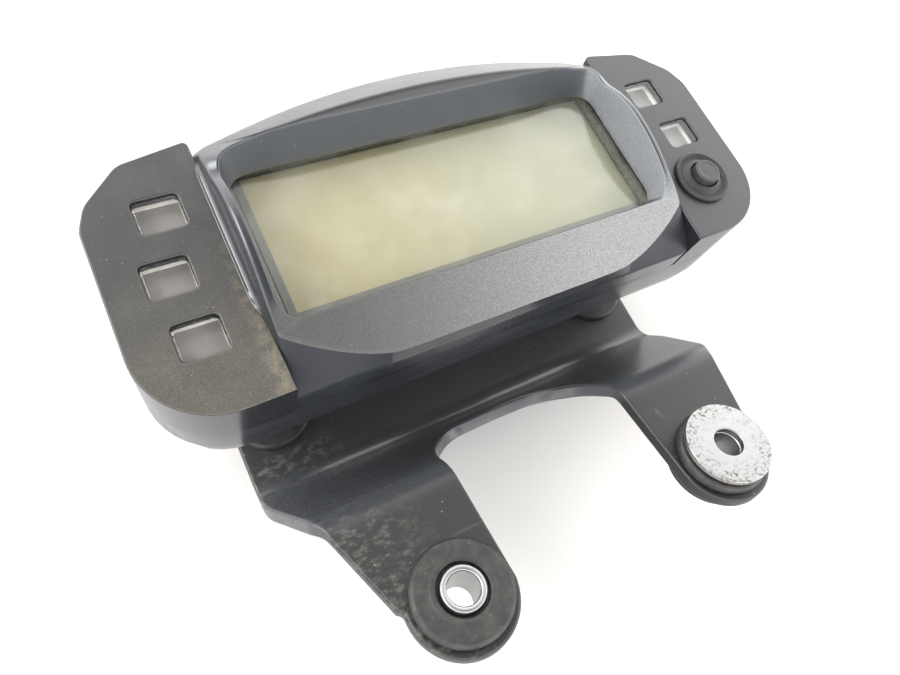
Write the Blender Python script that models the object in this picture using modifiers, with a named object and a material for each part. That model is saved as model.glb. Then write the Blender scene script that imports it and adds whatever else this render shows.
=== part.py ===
"""Motorcycle instrument cluster on its rubber-mounted bracket, modelled in separate parts.

The parts hang from one empty, the datum. In the datum's frame X runs to the rider's right,
Y up the display and Z out of the display; z = 0 is the face of the two side wings and y = 0
their mid height. The datum is lifted so that the lowest screw heads stand on z = 0.
"""

import math

import bmesh
import bpy
from mathutils import Matrix, Vector

MM = 0.001  # every named size below is in millimetres; meshes are in metres
GAP = 0.3  # clearance between neighbouring parts
OVER = 2.0  # how far a cutter passes the surface it cuts

# Case outline, seen from the front
HALF_WIDTH = 74.3
CASE_BOTTOM = -28.2
LOWER_CORNER = 15.6  # radius
WING_TOP_INNER = (50.3, 28.6)
WING_TOP_OUTER = (64.4, 26.3)
WING_SHOULDER = (72.2, 19.0)
WING_SIDE_TOP = 14.0
WING_INNER_FOOT = 49.4
WING_POCKET_X = 52.6
ARCH_TOP = 37.4
ARCH_RADIUS = 141.0
ARCH_FOOT_Z = -4.6
WALL = 2.2

# Case depths, measured from the wing face
PARTING_Z = -13.0
CREASE_Z = -5.5
TAPER_Z = -23.0
SHOULDER_Z = -30.4
BACK_Z = -37.0
REAR_HALF_WIDTH = 71.2
REAR_BOTTOM = -27.3
REAR_TOP = 26.5
REAR_CORNER = 12.0
BACK_BOX = (46.0, -18.0, 23.5)  # half width, lower and upper edge
CAVITY_TOP_Z = -6.5
SEAL_WIDTH = 1.2

# Hood round the display
HOOD_FOOT = 50.4  # half width where the flanks meet the wings
HOOD_RIM_OUTER = 49.0
HOOD_RIM_INNER = 47.2
RIM_PEAK_Y = 4.5
RIM_PEAK_Z = 6.4
LIP_Y = 22.4
LIP_Z = 6.0
LIP_END_Z = 4.0
CREST_RISE = (1.3, 1.4)  # how far the crest stands behind and above the lip at mid width
CREST_HALF_WIDTH = 31.0
OPENING_BOTTOM = -16.3
OPENING_BOTTOM_Z = 2.0
OPENING_CORNER = 3.6
BAND_EDGE = (28.0, -27.3, -3.0)  # where the face band's straight lower edge ends
BAND_TIP = (48.5, -18.0, 1.8)

# Display stack
LENS_SIZE = (92.0, 35.6, 2.0)
LENS_CENTRE_Y = 3.4
LENS_TOP_Z = -3.0
LCD_SIZE = (89.0, 34.4, 2.4)
LIGHT_GUIDE_SIZE = (84.0, 26.0, 4.0)
HOLDER_OUTER = (94.4, 38.4)
HOLDER_INNER = (89.8, 35.2)
HOLDER_TOP_Z = -5.9
BOARD_HALF_WIDTH = 67.5
BOARD_EDGES = (-24.6, 25.0)
BOARD_TOP_Z = -15.5
BOARD_THICKNESS = 1.6
BOARD_CORNER = 12.0
STRIP_WIDTH = 2.4

# Tell-tale windows, measured for the right wing and mirrored for the left
WINDOW_SIZE = (8.8, 7.6)
WINDOW_CORNER = 1.1
WINDOW_CENTRES = ((60.2, 13.7), (62.8, 0.3), (61.5, -12.9))
WING_LENS_X = (55.1, 67.8)
WING_LENS_THICKNESS = 1.6
PAD_TOP_Z = -1.0  # the lens fills each window with a raised pad

# Push button
BUTTON_CENTRE = (60.2, -13.5)
BOOT_RADIUS = 7.1
BUTTON_RADIUS = 3.3
BUTTON_TOP_Z = 3.2
SWITCH_SIZE = (6.2, 6.2, 3.6)
SWITCH_PLUNGER_TOP_Z = -4.9

# Screws that close the case
CASE_SCREWS = ((38.0, -20.9), (51.8, 20.8))
CASE_BOSS_RADIUS = 3.0
CASE_SCREW_RADIUS = 1.4
CASE_SCREW_HEAD = (2.7, 1.9)  # radius, height
CASE_BOSS_SPLIT_Z = -14.5

# Bracket: moulded sheet with a rising step and two arms
SHEET = 3.4
PLATE_Z = -50.0
PLATE_HALF_WIDTH = 59.6
STEP_FOOT = (-34.7, PLATE_Z)
STEP_HEAD = (-48.6, -21.2)
ARM_TILT = math.radians(15.0)
ARM_X = 34.0
ARM_Y = -72.5
ARM_TIP_RADIUS = 11.4
ARM_INNER_X = 22.8
ARCH_CUT_Y = -38.3
PLATE_TOP_Y = 27.5
SOCKET_WINDOW = (20.0, -14.0, 8.0)  # half width, lower and upper edge

# Rubber mounts, steel sleeves and their screws
DAMPERS = (("left", -49.6, -16.0), ("right", 49.6, -16.0), ("top", 0.0, 16.4))
GROMMET_FLANGE_RADIUS = 9.8
ARM_GROMMET_FLANGE_RADIUS = 10.25
GROMMET_NECK_RADIUS = 7.0
GROMMET_FLANGE = 2.2  # thickness
SLEEVE_RADIUS = 4.5
SLEEVE_BORE = 3.25
COLLAR_FLANGE_RADIUS = 7.8
POST_RADIUS = 6.0
WASHER_RADIUS = 8.0
WASHER_THICKNESS = 1.2
MOUNT_SCREW_RADIUS = 2.5
MOUNT_HEAD = (5.0, 2.6)  # radius, height
LOOSE_WASHER = (9.75, 3.3, 1.5)  # outer radius, hole radius, thickness

# Rear connector
SOCKET_SIZE = (31.0, 13.0)
SOCKET_Y = -3.0
SOCKET_END_Z = -47.0
SOCKET_WALL = 1.6

GROMMET_BOTTOM_Z = PLATE_Z - SHEET - GAP - GROMMET_FLANGE
LOWEST_Z = GROMMET_BOTTOM_Z - GAP - WASHER_THICKNESS - GAP - MOUNT_HEAD[1]
ARM_TIP_Y = ARM_Y - ARM_TIP_RADIUS
DATUM = (0.0, -(ARM_TIP_Y + ARCH_TOP) / 2.0, -LOWEST_Z)


# ---------------------------------------------------------------- scene and helpers

def clear_scene():
    for obj in list(bpy.data.objects):
        bpy.data.objects.remove(obj, do_unlink=True)


def new_collection(name):
    collection = bpy.data.collections.new(name)
    bpy.context.scene.collection.children.link(collection)
    return collection


def new_material(name, colour, roughness, metallic=0.0):
    material = bpy.data.materials.new(name)
    material.use_nodes = True
    shader = material.node_tree.nodes["Principled BSDF"]
    shader.inputs["Base Color"].default_value = (*colour, 1.0)
    shader.inputs["Roughness"].default_value = roughness
    shader.inputs["Metallic"].default_value = metallic
    material.diffuse_color = (*colour, 1.0)
    return material


def place(mesh, name, material=None, parent=None, at=(0.0, 0.0, 0.0)):
    """Make an object of the mesh; with no material it is a cutter."""
    obj = bpy.data.objects.new(name, mesh)
    obj.parent = parent or DATUM_EMPTY
    obj.location = Vector(at) * MM
    if material is None:
        CUTTERS.objects.link(obj)
        obj.hide_render = True
        obj.display_type = "WIRE"
    else:
        CLUSTER.objects.link(obj)
        mesh.materials.append(material)
    return obj


def mesh_from(bm, name):
    bmesh.ops.recalc_face_normals(bm, faces=bm.faces)
    mesh = bpy.data.meshes.new(name)
    bm.to_mesh(mesh)
    bm.free()
    return mesh


def box_mesh(name, size, centre=(0.0, 0.0, 0.0)):
    bm = bmesh.new()
    bmesh.ops.create_cube(bm, size=1.0)
    bmesh.ops.scale(bm, vec=Vector(size) * MM, verts=bm.verts)
    bmesh.ops.translate(bm, vec=Vector(centre) * MM, verts=bm.verts)
    return mesh_from(bm, name)


def rod_mesh(name, radius, low, high, centre=(0.0, 0.0), sides=24):
    bm = bmesh.new()
    bmesh.ops.create_cone(
        bm, cap_ends=True, segments=sides,
        radius1=radius * MM, radius2=radius * MM, depth=(high - low) * MM,
    )
    middle = Vector((centre[0], centre[1], (low + high) / 2.0)) * MM
    bmesh.ops.translate(bm, vec=middle, verts=bm.verts)
    return mesh_from(bm, name)


def slab_mesh(name, outline, low, high):
    """A flat outline given its thickness."""
    bm = bmesh.new()
    face = bm.faces.new([bm.verts.new((x * MM, y * MM, low * MM)) for x, y in outline])
    grown = bmesh.ops.extrude_face_region(bm, geom=[face])["geom"]
    raised = [part for part in grown if isinstance(part, bmesh.types.BMVert)]
    bmesh.ops.translate(bm, vec=(0.0, 0.0, (high - low) * MM), verts=raised)
    return mesh_from(bm, name)


def loft_mesh(name, loops, cap_first=True, cap_last=True):
    """Bridge closed loops that have the same number of points."""
    bm = bmesh.new()
    rings = [[bm.verts.new(Vector(p) * MM) for p in loop] for loop in loops]
    count = len(rings[0])
    for lower, upper in zip(rings, rings[1:]):
        for i in range(count):
            j = (i + 1) % count
            bm.faces.new((lower[i], lower[j], upper[j], upper[i]))
    if cap_first:
        bm.faces.new(rings[0][::-1])
    if cap_last:
        bm.faces.new(rings[-1])
    return mesh_from(bm, name)


def turned(name, profile, material, parent=None, at=(0.0, 0.0, 0.0), steps=32):
    """Turn a closed profile of (radius, z) points about the local Z axis."""
    bm = bmesh.new()
    verts = [bm.verts.new((r * MM, 0.0, z * MM)) for r, z in profile]
    for start, end in zip(verts, verts[1:]):
        bm.edges.new((start, end))
    if min(r for r, z in profile) > 0.0:
        bm.edges.new((verts[-1], verts[0]))
    mesh = bpy.data.meshes.new(name)
    bm.to_mesh(mesh)
    bm.free()
    obj = place(mesh, name, material, parent, at)
    screw = obj.modifiers.new("turn", "SCREW")
    screw.steps = steps
    screw.render_steps = steps
    screw.use_merge_vertices = True
    screw.merge_threshold = 0.01 * MM
    screw.use_smooth_shade = True
    return obj


def boolean(obj, tool_mesh, operation="DIFFERENCE", at=(0.0, 0.0, 0.0), tilt=0.0):
    tool = place(tool_mesh, f"cut_{obj.name}_{len(obj.modifiers)}", None, obj.parent, at)
    tool.rotation_euler = (tilt, 0.0, 0.0)
    step = obj.modifiers.new(operation.lower(), "BOOLEAN")
    step.operation = operation
    step.solver = "EXACT"
    step.object = tool
    return obj


def bevel(obj, width, segments=1, angle=40.0):
    edge = obj.modifiers.new("edges", "BEVEL")
    edge.width = width * MM
    edge.segments = segments
    edge.limit_method = "ANGLE"
    edge.angle_limit = math.radians(angle)
    return obj


# ---------------------------------------------------------------- outlines

def arc(centre, radius, start, end, steps):
    """Points of an arc in degrees, both ends included."""
    angles = [math.radians(start + (end - start) * i / steps) for i in range(steps + 1)]
    return [(centre[0] + radius * math.cos(a), centre[1] + radius * math.sin(a)) for a in angles]


def filleted(points, radii, steps=5, closed=True):
    """Round the corners of a polyline; radii gives one radius per corner."""
    result = []
    count = len(points)
    for i, (point, radius) in enumerate(zip(points, radii)):
        end_point = not closed and i in (0, count - 1)
        if radius == 0.0 or end_point:
            result.append(tuple(point))
            continue
        corner = Vector(point)
        before = (Vector(points[i - 1]) - corner).normalized()
        after = (Vector(points[(i + 1) % count]) - corner).normalized()
        half = before.angle(after) / 2.0
        reach = radius / math.tan(half)
        centre = corner + (before + after).normalized() * (radius / math.sin(half))
        first = corner + before * reach - centre
        last = corner + after * reach - centre
        sweep = first.angle_signed(last)
        for k in range(steps + 1):
            spoke = first.copy()
            spoke.rotate(Matrix.Rotation(-sweep * k / steps, 2))
            result.append(tuple(centre + spoke))
    return result


def rounded_box(half_width, low, high, radius, steps=5):
    corners = [(half_width, low), (half_width, high), (-half_width, high), (-half_width, low)]
    return filleted(corners, [radius] * 4, steps)


def mirrored(right_half):
    """Close a right-hand outline, bottom centre to top centre, with its mirror image."""
    left = [(-x, *rest) for x, *rest in reversed(right_half) if x > 1e-6]
    return list(right_half) + left


def offset(outline, distance):
    """Move an anticlockwise outline inwards by a distance."""
    result = []
    for i, point in enumerate(outline):
        before = Vector(point) - Vector(outline[i - 1])
        after = Vector(outline[(i + 1) % len(outline)]) - Vector(point)
        normal_a = Vector((-before.y, before.x)).normalized()
        normal_b = Vector((-after.y, after.x)).normalized()
        normal = (normal_a + normal_b).normalized()
        step = distance / max(normal.dot(normal_a), 0.3)
        result.append(tuple(Vector(point) + normal * step))
    return result


def shares(outline):
    """How far round the closed outline each of its points lies, from 0 to 1."""
    lengths = [(Vector(a) - Vector(b)).length for a, b in zip(outline, outline[1:] + outline[:1])]
    total = sum(lengths)
    return [sum(lengths[:i]) / total for i in range(len(outline))]


def matched(outline, guide):
    """Points on the outline that lie as far round it as the guide's points round the guide."""
    marks = shares(outline) + [1.0]
    closed = outline + outline[:1]
    result = []
    for share in shares(guide):
        i = max(k for k, mark in enumerate(marks[:-1]) if mark <= share)
        along = (share - marks[i]) / (marks[i + 1] - marks[i])
        result.append(tuple(Vector(closed[i]).lerp(Vector(closed[i + 1]), along)))
    return result


def arch_y(x):
    """Upper edge of the case over the display."""
    return ARCH_TOP - ARCH_RADIUS + math.sqrt(ARCH_RADIUS ** 2 - x ** 2)


def wing_edge():
    """Outer edge of the right wing, from its lower inner corner to its upper inner corner."""
    corner = (HALF_WIDTH - LOWER_CORNER, CASE_BOTTOM + LOWER_CORNER)
    upper = filleted(
        [(HALF_WIDTH, 0.0), (HALF_WIDTH, WING_SIDE_TOP), WING_SHOULDER, WING_TOP_OUTER, WING_TOP_INNER],
        [0.0, 7.0, 7.0, 5.0, 0.0], steps=3, closed=False,
    )
    return arc(corner, LOWER_CORNER, -90.0, 0.0, 10) + upper


def case_outline():
    arch = [(x, arch_y(x)) for x in (44.0, 36.0, 27.0, 18.0, 9.0, 0.0)]
    return mirrored([(0.0, CASE_BOTTOM), (30.0, CASE_BOTTOM)] + wing_edge() + arch)


# ---------------------------------------------------------------- front case

def rim_z(y):
    """Height of the hood's side rim, an arch that is longer towards the rider."""
    spread = 45.6 if y > RIM_PEAK_Y else 97.0
    return RIM_PEAK_Z - (y - RIM_PEAK_Y) ** 2 / spread


def lip_z(x):
    """Height of the opening's upper edge, level in the middle and lower at the corners."""
    fall = min(1.0, max(0.0, (x - 26.0) / 15.0))
    return LIP_Z + (LIP_END_Z - LIP_Z) * fall ** 2


def crest(x):
    """Upper edge of the hood: a low arch behind the lip that runs into it at both ends."""
    arch = max(0.0, 1.0 - (x / CREST_HALF_WIDTH) ** 2)
    return (x * 1.02, LIP_Y + 0.3 + CREST_RISE[0] * arch, lip_z(x) + 0.2 + CREST_RISE[1] * arch)


def bezier(a, b, c, t):
    return tuple(Vector(a) * (1 - t) ** 2 + Vector(b) * 2 * t * (1 - t) + Vector(c) * t ** 2)


def hood_stations():
    """Sections of the hood from bottom centre to top centre: (opening, edge, bulge, foot)."""
    stations = []
    for x in (0.0, 14.0, BAND_EDGE[0]):
        opening = (x * 0.93, OPENING_BOTTOM, OPENING_BOTTOM_Z)
        stations.append((opening, (x, BAND_EDGE[1], BAND_EDGE[2]), None, (x, CASE_BOTTOM, CREASE_Z)))
    bend = (38.0, -25.8, -1.0)
    for i in range(1, 7):
        t = i / 6.0
        opening = (26.0 + 16.5 * t, OPENING_BOTTOM, OPENING_BOTTOM_Z)
        foot = (BAND_EDGE[0] + (HOOD_FOOT - BAND_EDGE[0]) * t, CASE_BOTTOM, CREASE_Z)
        stations.append((opening, bezier(BAND_EDGE, bend, BAND_TIP, t), None, foot))
    corner = (HOOD_RIM_INNER - 0.4 - OPENING_CORNER, OPENING_BOTTOM + OPENING_CORNER)
    low_feet = ((HOOD_FOOT, -24.5, -4.2), (HOOD_FOOT, -20.5, -2.4))
    for (x, y), edge_y, foot in zip(arc(corner, OPENING_CORNER, -55.0, -20.0, 1), (-16.8, -15.2), low_feet):
        stations.append(((x, y, rim_z(y) - 0.4), (HOOD_RIM_OUTER, edge_y, rim_z(edge_y)), None, foot))
    for i in range(9):
        y = -12.5 + 30.0 * i / 8.0
        foot = (HOOD_FOOT, y - 2.0 + 4.0 * i / 8.0, -1.5)
        stations.append(((HOOD_RIM_INNER, y, rim_z(y) - 0.2), (HOOD_RIM_OUTER, y, rim_z(y)), None, foot))
    for x, y, edge, foot in (
        (46.6, 19.6, (48.3, 20.0, 3.3), (HOOD_FOOT, 21.8, -1.8)),
        (45.4, 21.2, (47.2, 22.0, 3.6), (HOOD_FOOT, 25.0, -2.4)),
        (43.2, 22.1, (44.8, 22.9, 4.2), (HOOD_FOOT - 0.4, 27.9, -3.6)),
    ):
        stations.append(((x, y, LIP_END_Z), edge, None, foot))
    for x in (40.0, 35.0, 30.0, 24.0, 17.0, 9.0, 0.0):
        edge = crest(x)
        foot = (x * 1.18, arch_y(x * 1.18) - 0.1, ARCH_FOOT_Z)
        bulge = (x * 1.12, edge[1] * 0.32 + foot[1] * 0.68, edge[2] * 0.66 + foot[2] * 0.34)
        stations.append(((x, LIP_Y, lip_z(x)), edge, bulge, foot))
    return stations


def hood_loops():
    """Closed loops of the centre block, from the parting plane over the rim into the opening."""
    stations = hood_stations()
    feet = [foot for opening, edge, bulge, foot in stations]
    base = [(x, y, PARTING_Z) for x, y, z in feet]
    sides = []
    for t in (0.33, 0.66):
        loop = []
        for opening, edge, bulge, foot in stations:
            middle = bulge or tuple((Vector(foot) + Vector(edge)) / 2.0)
            loop.append(bezier(foot, middle, edge, t))
        sides.append(loop)
    edges = [edge for opening, edge, bulge, foot in stations]
    lips = [opening for opening, edge, bulge, foot in stations]
    floor = [(x * 0.968, y * 0.86, LENS_TOP_Z - 1.0) for x, y, z in lips]
    return [mirrored(loop) for loop in (base, feet, *sides, edges, lips, floor)]


def make_front_case():
    case = place(loft_mesh("front_case", hood_loops()), "front_case", BLACK_PLASTIC)
    wing = [(WING_INNER_FOOT, CASE_BOTTOM)] + wing_edge()
    for side in (1, -1):
        outline = [(side * x, y) for x, y in wing][::side]
        boolean(case, slab_mesh("wing", outline, PARTING_Z, 0.0), "UNION")
    inner = offset(case_outline(), WALL)
    boolean(case, slab_mesh("cavity", inner, PARTING_Z - OVER, CAVITY_TOP_Z))
    pocket = [(x, y) for x, y in offset(wing, WALL + GAP) if x > WING_POCKET_X]
    pocket = [(WING_POCKET_X, pocket[0][1])] + pocket + [(WING_POCKET_X, pocket[-1][1])]
    for side in (1, -1):
        outline = [(side * x, y) for x, y in pocket][::side]
        boolean(case, slab_mesh("wing_pocket", outline, CAVITY_TOP_Z - 1.0, -WALL))
    for size, top in ((LENS_SIZE, LENS_TOP_Z), (HOLDER_OUTER, HOLDER_TOP_Z)):
        seat = (size[0] + 2 * GAP, size[1] + 2 * GAP, 6.0)
        boolean(case, box_mesh("seat", seat, (0.0, LENS_CENTRE_Y, top + GAP - 3.0)))
    for side in (1, -1):
        for x, y in CASE_SCREWS:
            at = (side * x, y)
            boss_top = -1.5 if y > 0 else -6.0
            boolean(case, rod_mesh("boss", CASE_BOSS_RADIUS, CASE_BOSS_SPLIT_Z, boss_top, at, 20), "UNION")
            boolean(case, rod_mesh("pilot", CASE_SCREW_RADIUS + GAP, CASE_BOSS_SPLIT_Z - OVER, -7.8, at, 12))
    for x, y in WINDOW_CENTRES:
        boolean(case, window_cutter(-x, y))
    for x, y in WINDOW_CENTRES[:2]:
        boolean(case, window_cutter(x, y))
    boot_hole = rod_mesh("boot_hole", BOOT_RADIUS - 1.2, -WALL - OVER, OVER, BUTTON_CENTRE)
    boolean(case, boot_hole)
    return case


def window_cutter(x, y):
    half_x, half_y = WINDOW_SIZE[0] / 2.0, WINDOW_SIZE[1] / 2.0
    outline = [(x + u, y + v) for u, v in rounded_box(half_x, -half_y, half_y, WINDOW_CORNER, 2)]
    return slab_mesh("window", outline, -WALL - OVER, OVER)


# ---------------------------------------------------------------- display stack and electronics

def stacked(top, thickness):
    """Centre height of a layer, and the top of the next one below it."""
    return top - thickness / 2.0, top - thickness - GAP


def make_display():
    lens_z, lcd_top = stacked(LENS_TOP_Z, LENS_SIZE[2])
    centre = (0.0, LENS_CENTRE_Y, 0.0)
    lens = box_mesh("display_lens", LENS_SIZE, (0.0, 0.0, lens_z))
    bevel(place(lens, "display_lens", CLEAR, at=centre), 0.3)
    lcd_z, guide_top = stacked(lcd_top, LCD_SIZE[2])
    place(box_mesh("lcd_panel", LCD_SIZE, (0.0, 0.0, lcd_z)), "lcd_panel", LCD_GREY, at=centre)
    guide_z, guide_floor = stacked(guide_top, LIGHT_GUIDE_SIZE[2])
    guide = box_mesh("light_guide", LIGHT_GUIDE_SIZE, (0.0, 0.0, guide_z))
    bevel(place(guide, "light_guide", MILKY, at=centre), 0.4)
    holder_low = BOARD_TOP_Z + GAP
    outer = rounded_box(HOLDER_OUTER[0] / 2.0, -HOLDER_OUTER[1] / 2.0, HOLDER_OUTER[1] / 2.0, 1.5, 2)
    frame = slab_mesh("lcd_holder", outer, holder_low, HOLDER_TOP_Z)
    holder = place(frame, "lcd_holder", WHITE_PLASTIC, at=centre)
    boolean(holder, box_mesh("holder_hole", (*HOLDER_INNER, 40.0)), at=centre)
    strip_length = LCD_SIZE[0] - 8.0
    strip_z = (guide_top + holder_low) / 2.0
    for name, side in (("upper", 1), ("lower", -1)):
        y = LENS_CENTRE_Y + side * (LCD_SIZE[1] / 2.0 - STRIP_WIDTH / 2.0)
        size = (strip_length, STRIP_WIDTH, guide_top - holder_low)
        place(box_mesh("strip", size), f"elastomer_strip_{name}", RUBBER, at=(0.0, y, strip_z))


def make_board():
    low, high = BOARD_EDGES
    outline = rounded_box(BOARD_HALF_WIDTH, low, high, BOARD_CORNER)
    mesh = slab_mesh("circuit_board", outline, BOARD_TOP_Z - BOARD_THICKNESS, BOARD_TOP_Z)
    board = place(mesh, "circuit_board", BOARD_GREEN)
    for side in (1, -1):
        for x, y in CASE_SCREWS:
            clearance = rod_mesh("board_notch", CASE_BOSS_RADIUS + 0.6, -30.0, 0.0, (side * x, y), 16)
            boolean(board, clearance)


def make_electronics():
    below = BOARD_TOP_Z - BOARD_THICKNESS - GAP
    chip = box_mesh("chip", (14.0, 14.0, 1.5), (0.0, 0.0, -0.75))
    bevel(place(chip, "microcontroller", CHIP_BLACK, at=(-28.0, 2.0, below)), 0.25)
    crystal = slab_mesh("crystal", rounded_box(5.2, -2.2, 2.2, 2.1, 4), -3.6, 0.0)
    place(crystal, "quartz_crystal", ZINC, at=(-28.0, -12.0, below))
    for number, x in ((1, 30.0), (2, 41.5)):
        can = [
            (0.0, 0.0), (4.0, 0.0), (4.0, -1.2), (3.7, -1.6),
            (4.0, -2.0), (4.0, -9.6), (3.6, -10.0), (0.0, -10.0),
        ]
        turned(f"capacitor_{number}", can, ALUMINIUM, at=(x, 12.0, below), steps=20)
    led_z = BOARD_TOP_Z + GAP
    for name, x in (("left", -36.0), ("right", 36.0)):
        led = box_mesh("led", (5.0, 3.0, 1.4), (0.0, 0.0, 0.7))
        bevel(place(led, f"backlight_led_{name}", WHITE_PLASTIC, at=(x, LENS_CENTRE_Y, led_z)), 0.2)
    for number, (x, y) in enumerate(WINDOW_CENTRES, start=1):
        lamp = box_mesh("lamp", (3.2, 2.8, 1.9), (0.0, 0.0, 0.95))
        place(lamp, f"telltale_led_left_{number}", WHITE_PLASTIC, at=(-x, y, led_z))
    for number, (x, y) in enumerate(WINDOW_CENTRES[:2], start=1):
        lamp = box_mesh("lamp", (3.2, 2.8, 1.9), (0.0, 0.0, 0.95))
        place(lamp, f"telltale_led_right_{number}", WHITE_PLASTIC, at=(x, y, led_z))


def make_wing_optics():
    """Translucent strips with a raised pad in each window, and the chimneys that part their light."""
    top = -WALL - GAP
    middle_x = sum(WING_LENS_X) / 2.0
    width = WING_LENS_X[1] - WING_LENS_X[0]
    for name, side, centres in (("left", -1, WINDOW_CENTRES), ("right", 1, WINDOW_CENTRES[:2])):
        low = centres[-1][1] - 5.2
        high = centres[0][1] + 4.4
        size = (width, high - low, WING_LENS_THICKNESS)
        at = (side * middle_x, (low + high) / 2.0, top - WING_LENS_THICKNESS / 2.0)
        lens = place(box_mesh("wing_lens", size), f"telltale_lens_{name}", SMOKE, at=at)
        for x, y in centres:
            half_x, half_y = WINDOW_SIZE[0] / 2.0 - GAP, WINDOW_SIZE[1] / 2.0 - GAP
            outline = rounded_box(half_x, -half_y, half_y, WINDOW_CORNER - GAP, 2)
            pad = slab_mesh("pad", outline, top - 1.0, PAD_TOP_Z)
            boolean(lens, pad, "UNION", at=(side * x, y, 0.0))
        chimney_top = top - WING_LENS_THICKNESS - GAP
        chimney_low = BOARD_TOP_Z + GAP
        size = (width, high - low, chimney_top - chimney_low)
        at = (side * middle_x, (low + high) / 2.0, (chimney_top + chimney_low) / 2.0)
        baffle = place(box_mesh("baffle", size), f"light_baffle_{name}", WHITE_PLASTIC, at=at)
        for x, y in centres:
            chimney = box_mesh("chimney", (WINDOW_SIZE[0], WINDOW_SIZE[1], 40.0))
            boolean(baffle, chimney, at=(side * x, y, 0.0))


# ---------------------------------------------------------------- push button

def make_button():
    rim = BOOT_RADIUS
    hole = BUTTON_RADIUS + GAP
    neck = rim - 1.2 - GAP
    boot = [
        (hole, 0.5), (hole + 0.8, 0.35), (rim - 1.9, 0.55), (rim - 1.3, 1.2), (rim - 0.5, 1.2),
        (rim, 0.8), (rim, GAP), (neck, GAP), (neck, -WALL - GAP), (rim, -WALL - GAP),
        (rim, -WALL - 1.5), (hole, -WALL - 1.5),
    ]
    turned("button_boot", boot, RUBBER, at=(*BUTTON_CENTRE, 0.0))
    stem_end = SWITCH_PLUNGER_TOP_Z + GAP
    cap = [
        (0.0, BUTTON_TOP_Z), (BUTTON_RADIUS - 0.7, BUTTON_TOP_Z), (BUTTON_RADIUS - 0.15, BUTTON_TOP_Z - 0.35),
        (BUTTON_RADIUS, BUTTON_TOP_Z - 1.0), (BUTTON_RADIUS, -2.0), (1.8, -2.4), (1.8, stem_end),
        (0.0, stem_end),
    ]
    turned("button_cap", cap, RUBBER, at=(*BUTTON_CENTRE, 0.0))
    floor = BOARD_TOP_Z + GAP
    body_top = floor + SWITCH_SIZE[2]
    body = box_mesh("switch", SWITCH_SIZE, (0.0, 0.0, floor + SWITCH_SIZE[2] / 2.0))
    switch = place(body, "switch_body", CHIP_BLACK, at=(*BUTTON_CENTRE, 0.0))
    well = rod_mesh("well", 1.7 + GAP, body_top - 1.9, body_top + OVER, sides=20)
    boolean(switch, well, at=(*BUTTON_CENTRE, 0.0))
    low = body_top - 0.9
    top = SWITCH_PLUNGER_TOP_Z
    plunger = [(0.0, top), (1.5, top), (1.7, top - 0.3), (1.7, low), (0.0, low)]
    turned("switch_plunger", plunger, WHITE_PLASTIC, at=(*BUTTON_CENTRE, 0.0), steps=20)


# ---------------------------------------------------------------- rear case, seal, connector, screws

def rear_loops():
    parting = case_outline()
    shoulder = rounded_outline(REAR_HALF_WIDTH, REAR_BOTTOM, REAR_TOP, REAR_CORNER)
    box_half, box_low, box_high = BACK_BOX
    box_top = rounded_outline(box_half, box_low, box_high, 5.0)
    box_floor = rounded_outline(box_half - 1.5, box_low + 1.5, box_high - 1.5, 4.0)
    levels = (
        (parting, PARTING_Z - GAP), (parting, TAPER_Z), (shoulder, SHOULDER_Z + 1.2),
        (offset(shoulder, 1.2), SHOULDER_Z), (box_top, SHOULDER_Z), (box_floor, BACK_Z),
    )
    return [[(x, y, z) for x, y in matched(outline, parting)] for outline, z in levels]


def rounded_outline(half_width, low, high, radius):
    """A rounded rectangle that starts at bottom centre."""
    right = filleted([(half_width, low), (half_width, high)], [0.0, 0.0])
    corners = arc((right[0][0] - radius, low + radius), radius, -90.0, 0.0, 5)
    corners += arc((right[1][0] - radius, high - radius), radius, 0.0, 90.0, 5)
    return mirrored([(0.0, low)] + corners + [(0.0, high)])


def make_rear_case():
    mesh = loft_mesh("rear_case", rear_loops(), cap_first=False)
    case = place(mesh, "rear_case", BLACK_PLASTIC)
    shell = case.modifiers.new("wall", "SOLIDIFY")
    shell.thickness = WALL * MM
    shell.offset = -1.0
    shell.use_even_offset = True
    for side in (1, -1):
        for x, y in CASE_SCREWS:
            at = (side * x, y)
            low = SHOULDER_Z - OVER
            high = SHOULDER_Z + 1.0
            pillar = rod_mesh("pillar", CASE_BOSS_RADIUS, high, CASE_BOSS_SPLIT_Z - GAP, at, 20)
            boolean(case, pillar, "UNION")
            boolean(case, rod_mesh("bore", CASE_SCREW_RADIUS + GAP, low, -14.0, at, 12))
            boolean(case, rod_mesh("sink", CASE_SCREW_HEAD[0] + GAP, low, high, at, 16))
    for name, x, y in DAMPERS:
        top = BACK_Z + 1.0 if name == "top" else SHOULDER_Z + 1.0
        sleeve_top = PLATE_Z + GAP + GROMMET_FLANGE + GAP
        post = rod_mesh("post", POST_RADIUS, sleeve_top + GAP, top, (x, y))
        boolean(case, post, "UNION")
        thread = rod_mesh("thread", MOUNT_SCREW_RADIUS + GAP, sleeve_top - OVER, sleeve_top + 9.0, (x, y), 16)
        boolean(case, thread)
    opening = (SOCKET_SIZE[0] + 2 * GAP, SOCKET_SIZE[1] + 2 * GAP, 10.0)
    boolean(case, box_mesh("socket_hole", opening, (0.0, SOCKET_Y, BACK_Z)))


def make_seal():
    outer = offset(case_outline(), WALL + GAP)
    inner = offset(outer, SEAL_WIDTH)
    seal = place(slab_mesh("case_seal", outer, CASE_BOSS_SPLIT_Z, -12.2), "case_seal", RUBBER)
    boolean(seal, slab_mesh("seal_hole", inner, -20.0, -5.0))


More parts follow.
